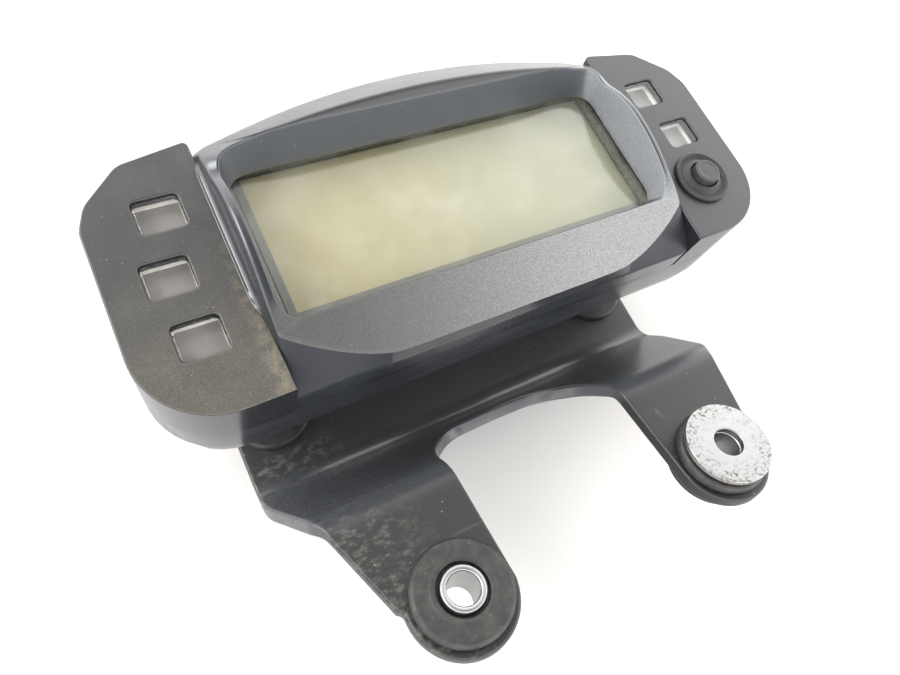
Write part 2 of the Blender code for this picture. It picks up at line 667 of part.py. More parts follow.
def make_connector():
    width, depth = SOCKET_SIZE
    floor = BACK_Z + WALL + GAP
    outline = rounded_box(width / 2.0, -depth / 2.0, depth / 2.0, 2.5, 3)
    mouth = rounded_box(
        width / 2.0 - SOCKET_WALL, -depth / 2.0 + SOCKET_WALL, depth / 2.0 - SOCKET_WALL, 1.5, 3,
    )
    at = (0.0, SOCKET_Y, 0.0)
    shell = slab_mesh("socket", outline, SOCKET_END_Z, floor + 1.0)
    socket = place(shell, "connector_socket", CHIP_BLACK, at=at)
    collar = rounded_box(width / 2.0 + 2.5, -depth / 2.0 - 2.5, depth / 2.0 + 2.5, 3.0, 3)
    boolean(socket, slab_mesh("collar", collar, floor, floor + 1.6), "UNION", at=at)
    boolean(socket, slab_mesh("mouth", mouth, SOCKET_END_Z - OVER, floor - 2.0), at=at)
    boolean(socket, box_mesh("pin_slot", (23.0, 6.6, 20.0), (0.0, 0.0, floor)), at=at)
    block_top = BOARD_TOP_Z - BOARD_THICKNESS - GAP
    block_low = floor + 1.6 + GAP
    block = box_mesh("header", (26.0, 8.0, block_top - block_low), (0.0, 0.0, (block_top + block_low) / 2.0))
    header = place(block, "connector_pins", CHIP_BLACK, at=at)
    pin_end = SOCKET_END_Z + 3.0
    pin_height = block_low + 1.0 - pin_end
    for row in (-1.5, 1.5):
        for column in range(6):
            x = (column - 2.5) * 3.6
            pin = box_mesh("pin", (0.9, 0.9, pin_height), (x, row, pin_end + pin_height / 2.0))
            boolean(header, pin, "UNION", at=at)


def screw_profile(radius, head_radius, head_height, length):
    """Half section of a pan-head screw, head down, with its bearing face at z = 0."""
    return [
        (0.0, length), (radius - 0.4, length), (radius, length - 0.8), (radius, 0.0), (head_radius, 0.0),
        (head_radius, -head_height * 0.55), (head_radius * 0.72, -head_height), (0.0, -head_height),
    ]


def make_case_screws():
    head_radius, head_height = CASE_SCREW_HEAD
    bearing = SHOULDER_Z + 1.0 - GAP
    profile = screw_profile(CASE_SCREW_RADIUS, head_radius, head_height, -8.4 - bearing)
    for side_name, side in (("left", -1), ("right", 1)):
        for level, (x, y) in zip(("lower", "upper"), CASE_SCREWS):
            at = (side * x, y, bearing)
            screw = turned(f"case_screw_{side_name}_{level}", profile, STEEL, at=at, steps=12)
            for angle in (0.0, 90.0):
                slot = box_mesh("slot", (2.9, 0.7, 1.8), (0.0, 0.0, -head_height))
                slot.transform(Matrix.Rotation(math.radians(angle), 4, "Z"))
                boolean(screw, slot, at=at)


# ---------------------------------------------------------------- bracket and mounts

def bracket_profile():
    """Closed side section of the sheet in (y, z): plate, step up and tilted arm."""
    slope = math.tan(ARM_TILT)
    far_y = ARM_TIP_Y - 8.0
    far_z = STEP_HEAD[1] + (STEP_HEAD[0] - far_y) * slope
    upper = [(PLATE_TOP_Y + 8.0, PLATE_Z), STEP_FOOT, STEP_HEAD, (far_y, far_z)]
    lower = []
    for i, point in enumerate(upper):
        runs = [Vector(upper[j + 1]) - Vector(upper[j]) for j in (i - 1, i) if 0 <= j < len(upper) - 1]
        normals = [Vector((run.y, -run.x)).normalized() for run in runs]
        normal = sum(normals, Vector((0.0, 0.0))).normalized()
        lower.append(tuple(Vector(point) - normal * (SHEET / normal.dot(normals[0]))))
    if lower[0][1] > PLATE_Z:
        lower = [tuple(2 * Vector(p) - Vector(q)) for p, q in zip(upper, lower)]
    top = filleted(upper, [0.0, 6.0, 8.0, 0.0], closed=False)
    bottom = filleted(lower, [0.0, 9.4, 4.6, 0.0], closed=False)
    return top + bottom[::-1]


def bracket_outline():
    """Plan of the bracket: plate above, arch between the arms below."""
    tip = (ARM_X, ARM_Y)
    inside = filleted(
        [(0.0, ARCH_CUT_Y), (13.0, ARCH_CUT_Y - 0.4), (ARM_INNER_X, -44.0), (ARM_INNER_X, ARM_Y)],
        [0.0, 20.0, 7.0, 0.0], steps=5, closed=False,
    )
    outside = filleted(
        [(46.4, -70.0), (52.7, -50.0), (PLATE_HALF_WIDTH, -38.5), (PLATE_HALF_WIDTH, -4.0),
         (18.0, PLATE_TOP_Y), (0.0, PLATE_TOP_Y)],
        [0.0, 9.0, 7.0, 9.0, 12.0, 0.0], steps=4, closed=False,
    )
    return mirrored(inside + arc(tip, ARM_TIP_RADIUS, -170.0, 8.0, 14) + outside)


def make_bracket():
    profile = slab_mesh("bracket", bracket_profile(), -HALF_WIDTH, HALF_WIDTH)
    profile.transform(Matrix(((0, 0, 1, 0), (1, 0, 0, 0), (0, 1, 0, 0), (0, 0, 0, 1))))
    bracket = place(profile, "bracket", GRAINED_BLACK)
    plan = slab_mesh("bracket_plan", bracket_outline(), PLATE_Z - 12.0, 5.0)
    boolean(bracket, plan, "INTERSECT")
    for name, x, y in DAMPERS:
        hole = rod_mesh("damper_hole", GROMMET_NECK_RADIUS + GAP, -OVER - SHEET, OVER)
        boolean(bracket, hole, at=(x, y, PLATE_Z))
    for side in (1, -1):
        hole = rod_mesh("arm_hole", GROMMET_NECK_RADIUS + GAP, -OVER - SHEET, OVER)
        boolean(bracket, hole, at=(side * ARM_X, ARM_Y, arm_z()), tilt=-ARM_TILT)
    half, low, high = SOCKET_WINDOW
    window = slab_mesh("window", rounded_box(half, low, high, 5.0, 3), PLATE_Z - 12.0, PLATE_Z + 5.0)
    boolean(bracket, window)


def arm_z():
    """Height of the arm's upper face at the eye's centre."""
    return STEP_HEAD[1] + (STEP_HEAD[0] - ARM_Y) * math.tan(ARM_TILT)


def grommet_profile(flange_radius, recess):
    """Spool-shaped rubber mount; z = 0 is the upper face of the sheet it sits in."""
    bore = SLEEVE_RADIUS + GAP
    top = GAP + GROMMET_FLANGE
    low = -SHEET - GAP
    bottom = low - GROMMET_FLANGE
    return [
        (bore + recess, top), (flange_radius - 0.9, top), (flange_radius, top - 0.6), (flange_radius, GAP),
        (GROMMET_NECK_RADIUS, GAP), (GROMMET_NECK_RADIUS, low), (flange_radius, low),
        (flange_radius, bottom + 0.6), (flange_radius - 0.9, bottom), (bore, bottom), (bore, top - 1.6),
        (bore + recess, top - 1.4),
    ]


def tube_profile(outer, inner, low, high, edge=0.3):
    return [
        (inner + edge, high), (outer - edge, high), (outer, high - edge), (outer, low + edge),
        (outer - edge, low), (inner + edge, low), (inner, low + edge), (inner, high - edge),
    ]


def make_dampers():
    """Plate mounts: rubber spool, sleeve, washer and screw at each of the three posts."""
    sleeve_top = GAP + GROMMET_FLANGE + GAP
    sleeve_low = -SHEET - GAP - GROMMET_FLANGE
    washer_top = sleeve_low - GAP
    bearing = washer_top - WASHER_THICKNESS - GAP
    for name, x, y in DAMPERS:
        at = (x, y, PLATE_Z)
        turned(f"damper_{name}", grommet_profile(GROMMET_FLANGE_RADIUS, 0.2), RUBBER, at=at, steps=20)
        sleeve = tube_profile(SLEEVE_RADIUS, SLEEVE_BORE, sleeve_low, sleeve_top)
        turned(f"damper_sleeve_{name}", sleeve, ZINC, at=at, steps=16)
        washer = tube_profile(WASHER_RADIUS, SLEEVE_BORE, washer_top - WASHER_THICKNESS, washer_top)
        turned(f"damper_washer_{name}", washer, ZINC, at=at, steps=20)
        profile = screw_profile(MOUNT_SCREW_RADIUS, *MOUNT_HEAD, sleeve_top + 8.0 - bearing)
        screw = turned(f"damper_screw_{name}", profile, STEEL, at=(x, y, PLATE_Z + bearing), steps=16)
        key = rod_mesh("key", 2.3, -MOUNT_HEAD[1] - OVER, -MOUNT_HEAD[1] + 1.4, sides=6)
        boolean(screw, key, at=(x, y, PLATE_Z + bearing))


def make_arm_mounts():
    """Eyes of the arms: rubber spool, flanged steel collar, and one loose washer on the right."""
    top = GAP + GROMMET_FLANGE
    collar_top = top + 0.6
    flange_top = -SHEET - GAP - GROMMET_FLANGE - GAP
    flange_low = flange_top - 1.2
    for name, side in (("left", -1), ("right", 1)):
        eye = bpy.data.objects.new(f"arm_eye_{name}", None)
        CLUSTER.objects.link(eye)
        eye.parent = DATUM_EMPTY
        eye.location = Vector((side * ARM_X, ARM_Y, arm_z())) * MM
        eye.rotation_euler = (-ARM_TILT, 0.0, 0.0)
        grommet = grommet_profile(ARM_GROMMET_FLANGE_RADIUS, 0.6)
        turned(f"arm_grommet_{name}", grommet, RUBBER, eye, steps=24)
        collar = [
            (SLEEVE_BORE + 0.4, collar_top), (SLEEVE_RADIUS - 0.4, collar_top),
            (SLEEVE_RADIUS, collar_top - 0.4), (SLEEVE_RADIUS, flange_top),
            (COLLAR_FLANGE_RADIUS, flange_top), (COLLAR_FLANGE_RADIUS, flange_low), (SLEEVE_BORE, flange_low),
            (SLEEVE_BORE, collar_top - 0.4),
        ]
        turned(f"arm_collar_{name}", collar, ZINC, eye, steps=28)
    outer, hole, thickness = LOOSE_WASHER
    washer_low = collar_top + GAP
    washer = tube_profile(outer, hole, washer_low, washer_low + thickness, 0.25)
    turned("arm_washer_right", washer, ZINC, eye, steps=28)


# ---------------------------------------------------------------- build

clear_scene()
CLUSTER = new_collection("instrument_cluster")
CUTTERS = new_collection("cutters")

BLACK_PLASTIC = new_material("black_plastic", (0.035, 0.036, 0.038), 0.45)
GRAINED_BLACK = new_material("grained_black_plastic", (0.028, 0.029, 0.030), 0.55)
RUBBER = new_material("rubber", (0.030, 0.030, 0.029), 0.8)
CLEAR = new_material("clear_lens", (0.75, 0.78, 0.70), 0.1)
SMOKE = new_material("smoked_lens", (0.30, 0.29, 0.28), 0.3)
LCD_GREY = new_material("lcd_glass", (0.62, 0.61, 0.46), 0.2)
MILKY = new_material("milky_acrylic", (0.85, 0.86, 0.84), 0.3)
WHITE_PLASTIC = new_material("white_plastic", (0.80, 0.80, 0.78), 0.5)
BOARD_GREEN = new_material("board_green", (0.03, 0.18, 0.07), 0.5)
CHIP_BLACK = new_material("chip_black", (0.02, 0.02, 0.02), 0.5)
ALUMINIUM = new_material("aluminium", (0.75, 0.75, 0.76), 0.3, 1.0)
STEEL = new_material("steel", (0.45, 0.45, 0.46), 0.35, 1.0)
ZINC = new_material("zinc_plated_steel", (0.66, 0.68, 0.68), 0.3, 1.0)

DATUM_EMPTY = bpy.data.objects.new("cluster_datum", None)
CLUSTER.objects.link(DATUM_EMPTY)
DATUM_EMPTY.location = Vector(DATUM) * MM

make_front_case()
make_display()
make_board()
make_electronics()
make_wing_optics()
make_button()
make_rear_case()
make_seal()
make_connector()
make_case_screws()
make_bracket()
make_dampers()
make_arm_mounts()
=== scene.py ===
"""Looks of the motorcycle instrument cluster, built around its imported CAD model.

Shapes are written in millimetres in the case's own frame: X to the rider's right, Y up the
display, Z out of it, with z = 0 on the face of the side wings. Every object then sits at DATUM.
Materials read object coordinates, so the same frame places dust, wear and grain.
"""

import math

import bmesh
import bpy
from mathutils import Matrix, Vector


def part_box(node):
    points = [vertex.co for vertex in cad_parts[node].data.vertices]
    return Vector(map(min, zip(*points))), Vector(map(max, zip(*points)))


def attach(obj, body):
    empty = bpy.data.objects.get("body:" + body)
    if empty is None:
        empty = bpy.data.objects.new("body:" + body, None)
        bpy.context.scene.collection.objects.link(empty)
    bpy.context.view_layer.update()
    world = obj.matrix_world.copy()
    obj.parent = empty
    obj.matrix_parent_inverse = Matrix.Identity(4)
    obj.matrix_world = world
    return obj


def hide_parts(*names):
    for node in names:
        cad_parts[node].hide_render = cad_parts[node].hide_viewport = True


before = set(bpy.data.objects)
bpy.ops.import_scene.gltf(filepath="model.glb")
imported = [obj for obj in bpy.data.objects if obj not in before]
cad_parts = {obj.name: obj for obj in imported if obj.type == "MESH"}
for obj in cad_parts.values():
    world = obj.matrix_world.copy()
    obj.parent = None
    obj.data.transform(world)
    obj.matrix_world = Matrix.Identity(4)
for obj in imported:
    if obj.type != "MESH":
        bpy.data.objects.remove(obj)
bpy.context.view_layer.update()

MM = 0.001

# Case, the same driving sizes as the CAD model
HALF_WIDTH = 74.3
CASE_BOTTOM = -28.2
LOWER_CORNER = 15.6
WING_TOP_INNER = (50.3, 28.6)
WING_TOP_OUTER = (64.4, 26.3)
WING_SHOULDER = (72.2, 19.0)
WING_SIDE_TOP = 14.0
WING_INNER_FOOT = 49.4
WING_POCKET_X = 52.6
ARCH_TOP = 37.4
ARCH_RADIUS = 141.0
ARCH_FOOT_Z = -4.6
WALL = 2.2
PARTING_Z = -13.0
CREASE_Z = -5.5
CAVITY_TOP_Z = -6.5
HOOD_FOOT = 50.4
HOOD_RIM_OUTER = 49.0
HOOD_RIM_INNER = 47.2
RIM_PEAK_Y = 4.5
RIM_PEAK_Z = 6.4
LIP_Y = 22.4
LIP_Z = 6.0
LIP_END_Z = 4.0
ROOT_FILLET = 1.5  # hollow at the foot of the hood's flanks, beside the wings
CREST_RISE = (1.3, 1.4)
CREST_HALF_WIDTH = 31.0
OPENING_BOTTOM = -16.3
OPENING_BOTTOM_Z = 2.0
OPENING_CORNER = 3.6
BAND_EDGE = (28.0, -27.3, -3.0)
BAND_BEND = (38.0, -25.8, -1.0)
BAND_TIP = (48.5, -18.0, 1.8)
FLOOR_Z = -4.0

# Display, windows and button
LENS_SIZE = (92.0, 35.6, 2.0)
LENS_CENTRE_Y = 3.4
LENS_TOP_Z = -3.0
LCD_VIEW = (-42.8, 44.3, -12.0, 20.1)  # visible area: left, right, lower and upper edge
HOLDER_SEAT = (95.0, 39.0)
HOLDER_SEAT_TOP = -5.6
WINDOW_SIZE = (8.8, 7.6)
WINDOW_CORNER = 1.1
WINDOW_CENTRES = ((60.2, 13.7), (62.8, 0.3), (61.5, -12.9))
BUTTON_CENTRE = (60.2, -13.5)
BOOT_RADIUS = 7.1
BUTTON_RADIUS = 3.3
BUTTON_TOP_Z = 3.2
CELL_SIZE = (89.0, 34.4)
CELL_Z = (-7.7, -5.3)
STRIP_CENTRE_X = 61.45
STRIP_HALF_WIDTH = 6.35
STRIP_MARGINS = (5.2, 4.4)  # below the lowest window's centre and above the highest one's
STRIP_Z = (-4.1, -3.6)
PAD_Z = (-3.95, -0.45)
PAD_GAP = 0.16

# Bracket and mounts
SHEET = 3.4
PLATE_Z = -50.0
PLATE_HALF_WIDTH = 59.6
STEP_FOOT = (-34.7, PLATE_Z)
STEP_HEAD = (-48.6, -21.2)
STEP_FILLETS = (6.0, 8.0)
ARM_TILT = math.radians(15.0)
ARM_X = 34.0
ARM_Y = -72.5
ARM_TIP_RADIUS = 11.4
ARM_INNER_X = 22.8
ARCH_CUT_Y = -38.3
PLATE_TOP_Y = 27.5
SOCKET_WINDOW = (20.0, -14.0, 8.0)
DAMPERS = (("left", -49.6, -16.0), ("right", 49.6, -16.0), ("top", 0.0, 16.4))
ARM_FLANGE_RADIUS = 10.25
PLATE_FLANGE_RADIUS = 9.8
NECK_RADIUS = 7.0
FLANGE = 2.2
SLEEVE_RADIUS = 4.5
SLEEVE_BORE = 3.25
COLLAR_FLANGE_RADIUS = 7.8
COLLAR_FLANGE = 1.2
COLLAR_RISE = 0.6
WASHER_RADIUS = 8.0
WASHER_THICKNESS = 1.2
LOOSE_WASHER = (9.75, 3.3, 1.5)
GAP = 0.3

# Hood loft: rows between key stations, and how many stations carry the crest and the matt facet
ROWS_PER_STATION = 3
CREST_STATIONS = 8
FACET_STATIONS = (5, 16)
SATIN, POLISHED, GRAINED, INNER, FACET = range(5)  # material slots of the front case

# Brightness of the room by the sine of the elevation
ROOM_PEAK = 5.0
ROOM_LEVELS = ((0.0, 4.6), (0.55, 4.5), (0.66, 3.9), (0.78, 2.7), (0.87, 1.6), (0.95, 0.65), (1.0, 0.4))
WINDOW_TOWARD = (-0.66, 0.49, 0.57)
WINDOW_LEVEL = 19.0
WINDOW_EDGE = (0.962, 0.985)  # cosines of the window's outer and inner angular radius
PAPER_FADE = (130.0, 380.0)  # distances over which the floor goes from grey to white

# Camera: place and directions in the case's frame
FOCAL_LENGTH = 26.973
SENSOR_WIDTH = 36.0
CAMERA_PLACE = (-68.502, -63.596, 116.311)
CAMERA_RIGHT = (0.866, -0.438202, 0.240878)
CAMERA_FORWARD = (0.37978, 0.263019, -0.886898)

# The case's frame in the world, read from two corners of its front shell
low_corner, high_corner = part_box("front_case")
DATUM = Vector((
    (low_corner.x + high_corner.x) / 2.0,
    low_corner.y - CASE_BOTTOM * MM,
    low_corner.z - PARTING_Z * MM,
))


# -------- outlines

def arc(centre, radius, start, end, steps):
    angles = [math.radians(start + (end - start) * i / steps) for i in range(steps + 1)]
    return [(centre[0] + radius * math.cos(a), centre[1] + radius * math.sin(a)) for a in angles]


def filleted(points, radii, steps=10, closed=True):
    """Round the corners of a flat polyline with true arcs."""
    result = []
    count = len(points)
    for i, (point, radius) in enumerate(zip(points, radii)):
        if radius == 0.0 or (not closed and i in (0, count - 1)):
            result.append(tuple(point))
            continue
        corner = Vector(point)
        before = (Vector(points[i - 1]) - corner).normalized()
        after = (Vector(points[(i + 1) % count]) - corner).normalized()
        half = before.angle(after) / 2.0
        centre = corner + (before + after).normalized() * (radius / math.sin(half))
        reach = radius / math.tan(half)
        first = corner + before * reach - centre
        sweep = first.angle_signed(corner + after * reach - centre)
        for k in range(steps + 1):
            spoke = first.copy()
            spoke.rotate(Matrix.Rotation(-sweep * k / steps, 2))
            result.append(tuple(centre + spoke))
    return result


def rounded_box(half_width, low, high, radius, steps=8):
    """Rounded rectangle about the middle line."""
    corners = [(half_width, low), (half_width, high), (-half_width, high), (-half_width, low)]
    return filleted(corners, [radius] * 4, steps)


def display_box(width, height, radius):
    """Rounded rectangle centred on the display."""
    return rounded_box(width / 2.0, LENS_CENTRE_Y - height / 2.0, LENS_CENTRE_Y + height / 2.0, radius)


def mirrored(right_half):
    """A right-hand half outline with its mirror image; points on the middle line stay single."""
    left = [(-x, *rest) for x, *rest in reversed(right_half) if x > 1e-6]
    return list(right_half) + left


def offset(outline, distance):
    """Move an anticlockwise outline inwards."""
    result = []
    for i, point in enumerate(outline):
        before = Vector(point) - Vector(outline[i - 1])
        after = Vector(outline[(i + 1) % len(outline)]) - Vector(point)
        normal_a = Vector((-before.y, before.x)).normalized()
        normal_b = Vector((-after.y, after.x)).normalized()
        normal = (normal_a + normal_b).normalized()
        result.append(tuple(Vector(point) + normal * (distance / max(normal.dot(normal_a), 0.3))))
    return result


def softened(points, radii, steps=4):
    """Round the corners of a 3D polyline with quadratic curves."""
    result = [Vector(points[0])]
    for i in range(1, len(points) - 1):
        before, corner, after = (Vector(points[k]) for k in (i - 1, i, i + 1))
        to_before = before - corner
        to_after = after - corner
        reach_a = min(radii[i], to_before.length * 0.45)
        reach_b = min(radii[i], to_after.length * 0.45)
        start = corner + to_before.normalized() * reach_a
        end = corner + to_after.normalized() * reach_b
        for k in range(steps + 1):
            t = k / steps
            result.append(start * (1 - t) ** 2 + corner * 2 * t * (1 - t) + end * t ** 2)
    result.append(Vector(points[-1]))
    return result


def bezier(a, b, c, t):
    return tuple(Vector(a) * (1 - t) ** 2 + Vector(b) * 2 * t * (1 - t) + Vector(c) * t ** 2)


# -------- meshes and pieces

def piece_from(bm, name):
    """New object in the case's frame."""
    bmesh.ops.recalc_face_normals(bm, faces=bm.faces)
    mesh = bpy.data.meshes.new(name)
    bm.to_mesh(mesh)
    bm.free()
    piece = bpy.data.objects.new(name, mesh)
    piece.location = DATUM
    bpy.context.scene.collection.objects.link(piece)
    return piece


def loft(name, rings, region):
    """Bridge closed rings and cap both ends; region(level, column) gives a face's material index."""
    bm = bmesh.new()
    loops = [[bm.verts.new(Vector(p) * MM) for p in ring] for ring in rings]
    count = len(loops[0])
    for level, (lower, upper) in enumerate(zip(loops, loops[1:])):
        for i in range(count):
            j = (i + 1) % count
            face = bm.faces.new((lower[i], lower[j], upper[j], upper[i]))
            face.smooth = True
            face.material_index = region(level, i)
    for loop in (loops[0], loops[-1]):
        bm.faces.new(loop)
    return piece_from(bm, name)


def slab(name, outline, low, high):
    """Prism over a flat outline, between two heights."""
    bm = bmesh.new()
    face = bm.faces.new([bm.verts.new(Vector((x, y, low)) * MM) for x, y in outline])
    grown = bmesh.ops.extrude_face_region(bm, geom=[face])["geom"]
    raised = [part for part in grown if isinstance(part, bmesh.types.BMVert)]
    bmesh.ops.translate(bm, vec=(0.0, 0.0, (high - low) * MM), verts=raised)
    return piece_from(bm, name)


def turned(name, profile, steps=96):
    """Turn a closed (radius, z) profile about Z; points on the axis stay single."""
    bm = bmesh.new()
    rings = []
    for radius, z in profile:
        if radius < 1e-6:
            rings.append([bm.verts.new((0.0, 0.0, z * MM))] * steps)
            continue
        circle = [(math.cos(a), math.sin(a)) for a in (2.0 * math.pi * k / steps for k in range(steps))]
        rings.append([bm.verts.new((radius * x * MM, radius * y * MM, z * MM)) for x, y in circle])
    pairs = list(zip(rings, rings[1:]))
    if min(radius for radius, z in profile) > 1e-6:
        pairs.append((rings[-1], rings[0]))
    for upper, lower in pairs:
        for k in range(steps):
            corners = (upper[k], lower[k], lower[(k + 1) % steps], upper[(k + 1) % steps])
            bm.faces.new(list(dict.fromkeys(corners))).smooth = True
    return piece_from(bm, name)


def profile_of(points, radii):
    """A turned part's profile with softened corners, from plain (radius, z) points."""
    soft = softened([(r, 0.0, z) for r, z in points], radii)
    return [(p.x, p.z) for p in soft]


def settle(piece):
    """Replace the mesh by what its modifiers make, and drop the modifiers."""
    bpy.context.view_layer.update()
    depsgraph = bpy.context.evaluated_depsgraph_get()
    made = bpy.data.meshes.new_from_object(piece.evaluated_get(depsgraph))
    piece.modifiers.clear()
    piece.data = made
    return piece


def drill(centre, radius, low, high, sides=48):
    """Round cutting tool."""
    return slab("hole", arc(centre, radius, 0.0, 360.0 * (sides - 1) / sides, sides - 1), low, high)


def combine(piece, tool, operation="DIFFERENCE"):
    """Cut the piece with the tool, or join it on, and use the tool up."""
    step = piece.modifiers.new("combine", "BOOLEAN")
    step.operation = operation
    step.solver = "EXACT"
    step.object = tool
    settle(piece)
    bpy.data.objects.remove(tool)
    return piece


def bevel(piece, width, segments=3, angle=30.0, clamped=True, material=-1):
    """Round the sharp edges; material is the slot of the new faces, or -1 for their neighbours' own."""
    edge = piece.modifiers.new("edges", "BEVEL")
    edge.width = width * MM
    edge.segments = segments
    edge.limit_method = "ANGLE"
    edge.angle_limit = math.radians(angle)
    edge.use_clamp_overlap = clamped
    edge.material = material
    return settle(piece)


def bevel_above(piece, level, width, segments=3, angle=50.0):
    """Round only the sharp edges that lie above a level."""
    bm = bmesh.new()
    bm.from_mesh(piece.data)
    weights = bm.edges.layers.float.new("bevel_weight_edge")
    for edge in bm.edges:
        sharp = len(edge.link_faces) == 2 and edge.calc_face_angle() > math.radians(angle)
        if sharp and min(vert.co.z for vert in edge.verts) > level * MM:
            edge[weights] = 1.0
    bm.to_mesh(piece.data)
    bm.free()
    step = piece.modifiers.new("edges", "BEVEL")
    step.width = width * MM
    step.segments = segments
    step.limit_method = "WEIGHT"
    step.use_clamp_overlap = False
    return settle(piece)


def smooth(piece, angle=38.0):
    """Shade smooth up to an angle, with flat faces kept flat."""
    piece.data.shade_smooth()
    piece.data.set_sharp_from_angle(angle=math.radians(angle))
    weighted = piece.modifiers.new("normals", "WEIGHTED_NORMAL")
    weighted.keep_sharp = True
    return settle(piece)


def lay(piece, at, tilt=0.0):
    """Put a turned part in its place, tilted about X."""
    piece.location = DATUM + Vector(at) * MM
    piece.rotation_euler = (tilt, 0.0, 0.0)
    return smooth(piece, 60.0)


def show(piece, materials, slot, *nodes, body="housing"):
    """Give a finished piece its materials and its body, and hide the CAD nodes that it stands for."""
    for material in materials:
        piece.data.materials.append(material)
    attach(piece, body)
    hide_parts(*nodes)
    return piece


def copy_of(node, width, segments=2):
    """A CAD node's mesh with rounded edges, for parts whose shape is already right."""
    piece = bpy.data.objects.new(f"{node}_piece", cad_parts[node].data.copy())
    piece.data.materials.clear()
    bpy.context.scene.collection.objects.link(piece)
    bm = bmesh.new()
    bm.from_mesh(piece.data)
    bmesh.ops.remove_doubles(bm, verts=bm.verts, dist=0.002 * MM)
    bmesh.ops.dissolve_limit(bm, angle_limit=math.radians(1.0), verts=bm.verts, edges=bm.edges)
    bm.to_mesh(piece.data)
    bm.free()
    bevel(piece, width, segments)
    return smooth(piece)


# -------- shader kit

class Surface:
    """A material under construction. Positions are millimetres in the object's frame."""

    def __init__(self, name):
        self.material = bpy.data.materials.new(name)
        self.material.use_nodes = True
        self.tree = self.material.node_tree
        self.shader = self.tree.nodes["Principled BSDF"]
        place = self.node("ShaderNodeTexCoord").outputs["Object"]
        scaled = self.node("ShaderNodeVectorMath", {0: place, "Scale": 1.0 / MM}, operation="SCALE")
        self.place = scaled.outputs[0]
        self.x, self.y, self.z = self.node("ShaderNodeSeparateXYZ", {0: self.place}).outputs

    def node(self, kind, inputs=None, **settings):
        """New node; inputs are given by name or number, as values or as other nodes' outputs."""
        node = self.tree.nodes.new(kind)
        for key, value in settings.items():
            setattr(node, key, value)
        for key, value in (inputs or {}).items():
            self.feed(node.inputs[key], value)
        return node

    def feed(self, socket, value):
        if isinstance(value, bpy.types.NodeSocket):
            self.tree.links.new(value, socket)
        elif isinstance(value, tuple) and socket.type == "RGBA":
            socket.default_value = (*value, 1.0)
        else:
            socket.default_value = value

    def noise(self, size, detail=3.0, roughness=0.55, stretch=(1.0, 1.0, 1.0)):
        """Cloud texture whose blobs are about size millimetres across."""
        mapped = self.node("ShaderNodeMapping", {"Scale": stretch, "Vector": self.place}).outputs[0]
        numbers = {"Scale": 1.0 / size, "Detail": detail, "Roughness": roughness}
        return self.node("ShaderNodeTexNoise", {"Vector": mapped, **numbers}).outputs[0]

    def cells(self, size):
        """Distance to scattered points about size millimetres apart."""
        grid = self.node("ShaderNodeTexVoronoi", {"Scale": 1.0 / size, "Vector": self.place})
        return grid.outputs["Distance"]

    def ramp(self, value, low, high, start=0.0, end=1.0):
        """Smooth change from start to end while the value goes from low to high."""
        numbers = dict(enumerate((value, low, high, start, end)))
        return self.node("ShaderNodeMapRange", numbers, interpolation_type="SMOOTHSTEP").outputs[0]

    def calc(self, first, second, operation="ADD"):
        return self.node("ShaderNodeMath", {0: first, 1: second}, operation=operation).outputs[0]

    def times(self, first, second):
        return self.calc(first, second, "MULTIPLY")

    def mix(self, share, first, second):
        inputs = {"Factor": share, 6: first, 7: second}
        return self.node("ShaderNodeMix", inputs, data_type="RGBA").outputs[2]

    def facing(self, axis):
        """How far the surface looks along an object axis, -1 to 1."""
        normal = self.node("ShaderNodeNewGeometry").outputs["Normal"]
        return self.node("ShaderNodeSeparateXYZ", {0: normal}).outputs["XYZ".index(axis)]

    def bump(self, height, depth):
        """Relief of depth millimetres for a height that goes from 0 to 1."""
        return self.node("ShaderNodeBump", {"Distance": depth * MM, "Height": height}).outputs[0]

    def done(self, colour, roughness, normal=None, metallic=0.0, gloss=0.5):
        """Feed the shader; gloss is its specular level."""
        inputs = self.shader.inputs
        self.feed(inputs["Base Color"], colour)
        self.feed(inputs["Roughness"], roughness)
        self.feed(inputs["Metallic"], metallic)
        if normal:
            self.feed(inputs["Normal"], normal)
        self.feed(inputs["Specular IOR Level"], gloss)
        return self.material


# -------- materials

def scratches(surface, size, amount):
    """Fine marks that run in two directions."""
    one = surface.noise(size, 2.0, 0.6, (1.0, 0.06, 1.0))
    two = surface.noise(size * 1.3, 2.0, 0.6, (0.08, 1.0, 1.0))
    both = surface.calc(surface.ramp(one, 0.70, 0.76), surface.ramp(two, 0.71, 0.77), "MAXIMUM")
    return surface.times(both, amount)


def specks(surface, spacing, cover, amount):
    """Lone crumbs of dust, gathered where a slower noise is high."""
    crumbs = surface.ramp(surface.cells(spacing), 0.14, 0.06)
    return surface.times(surface.times(crumbs, surface.ramp(surface.noise(spacing * 3.0), *cover)), amount)


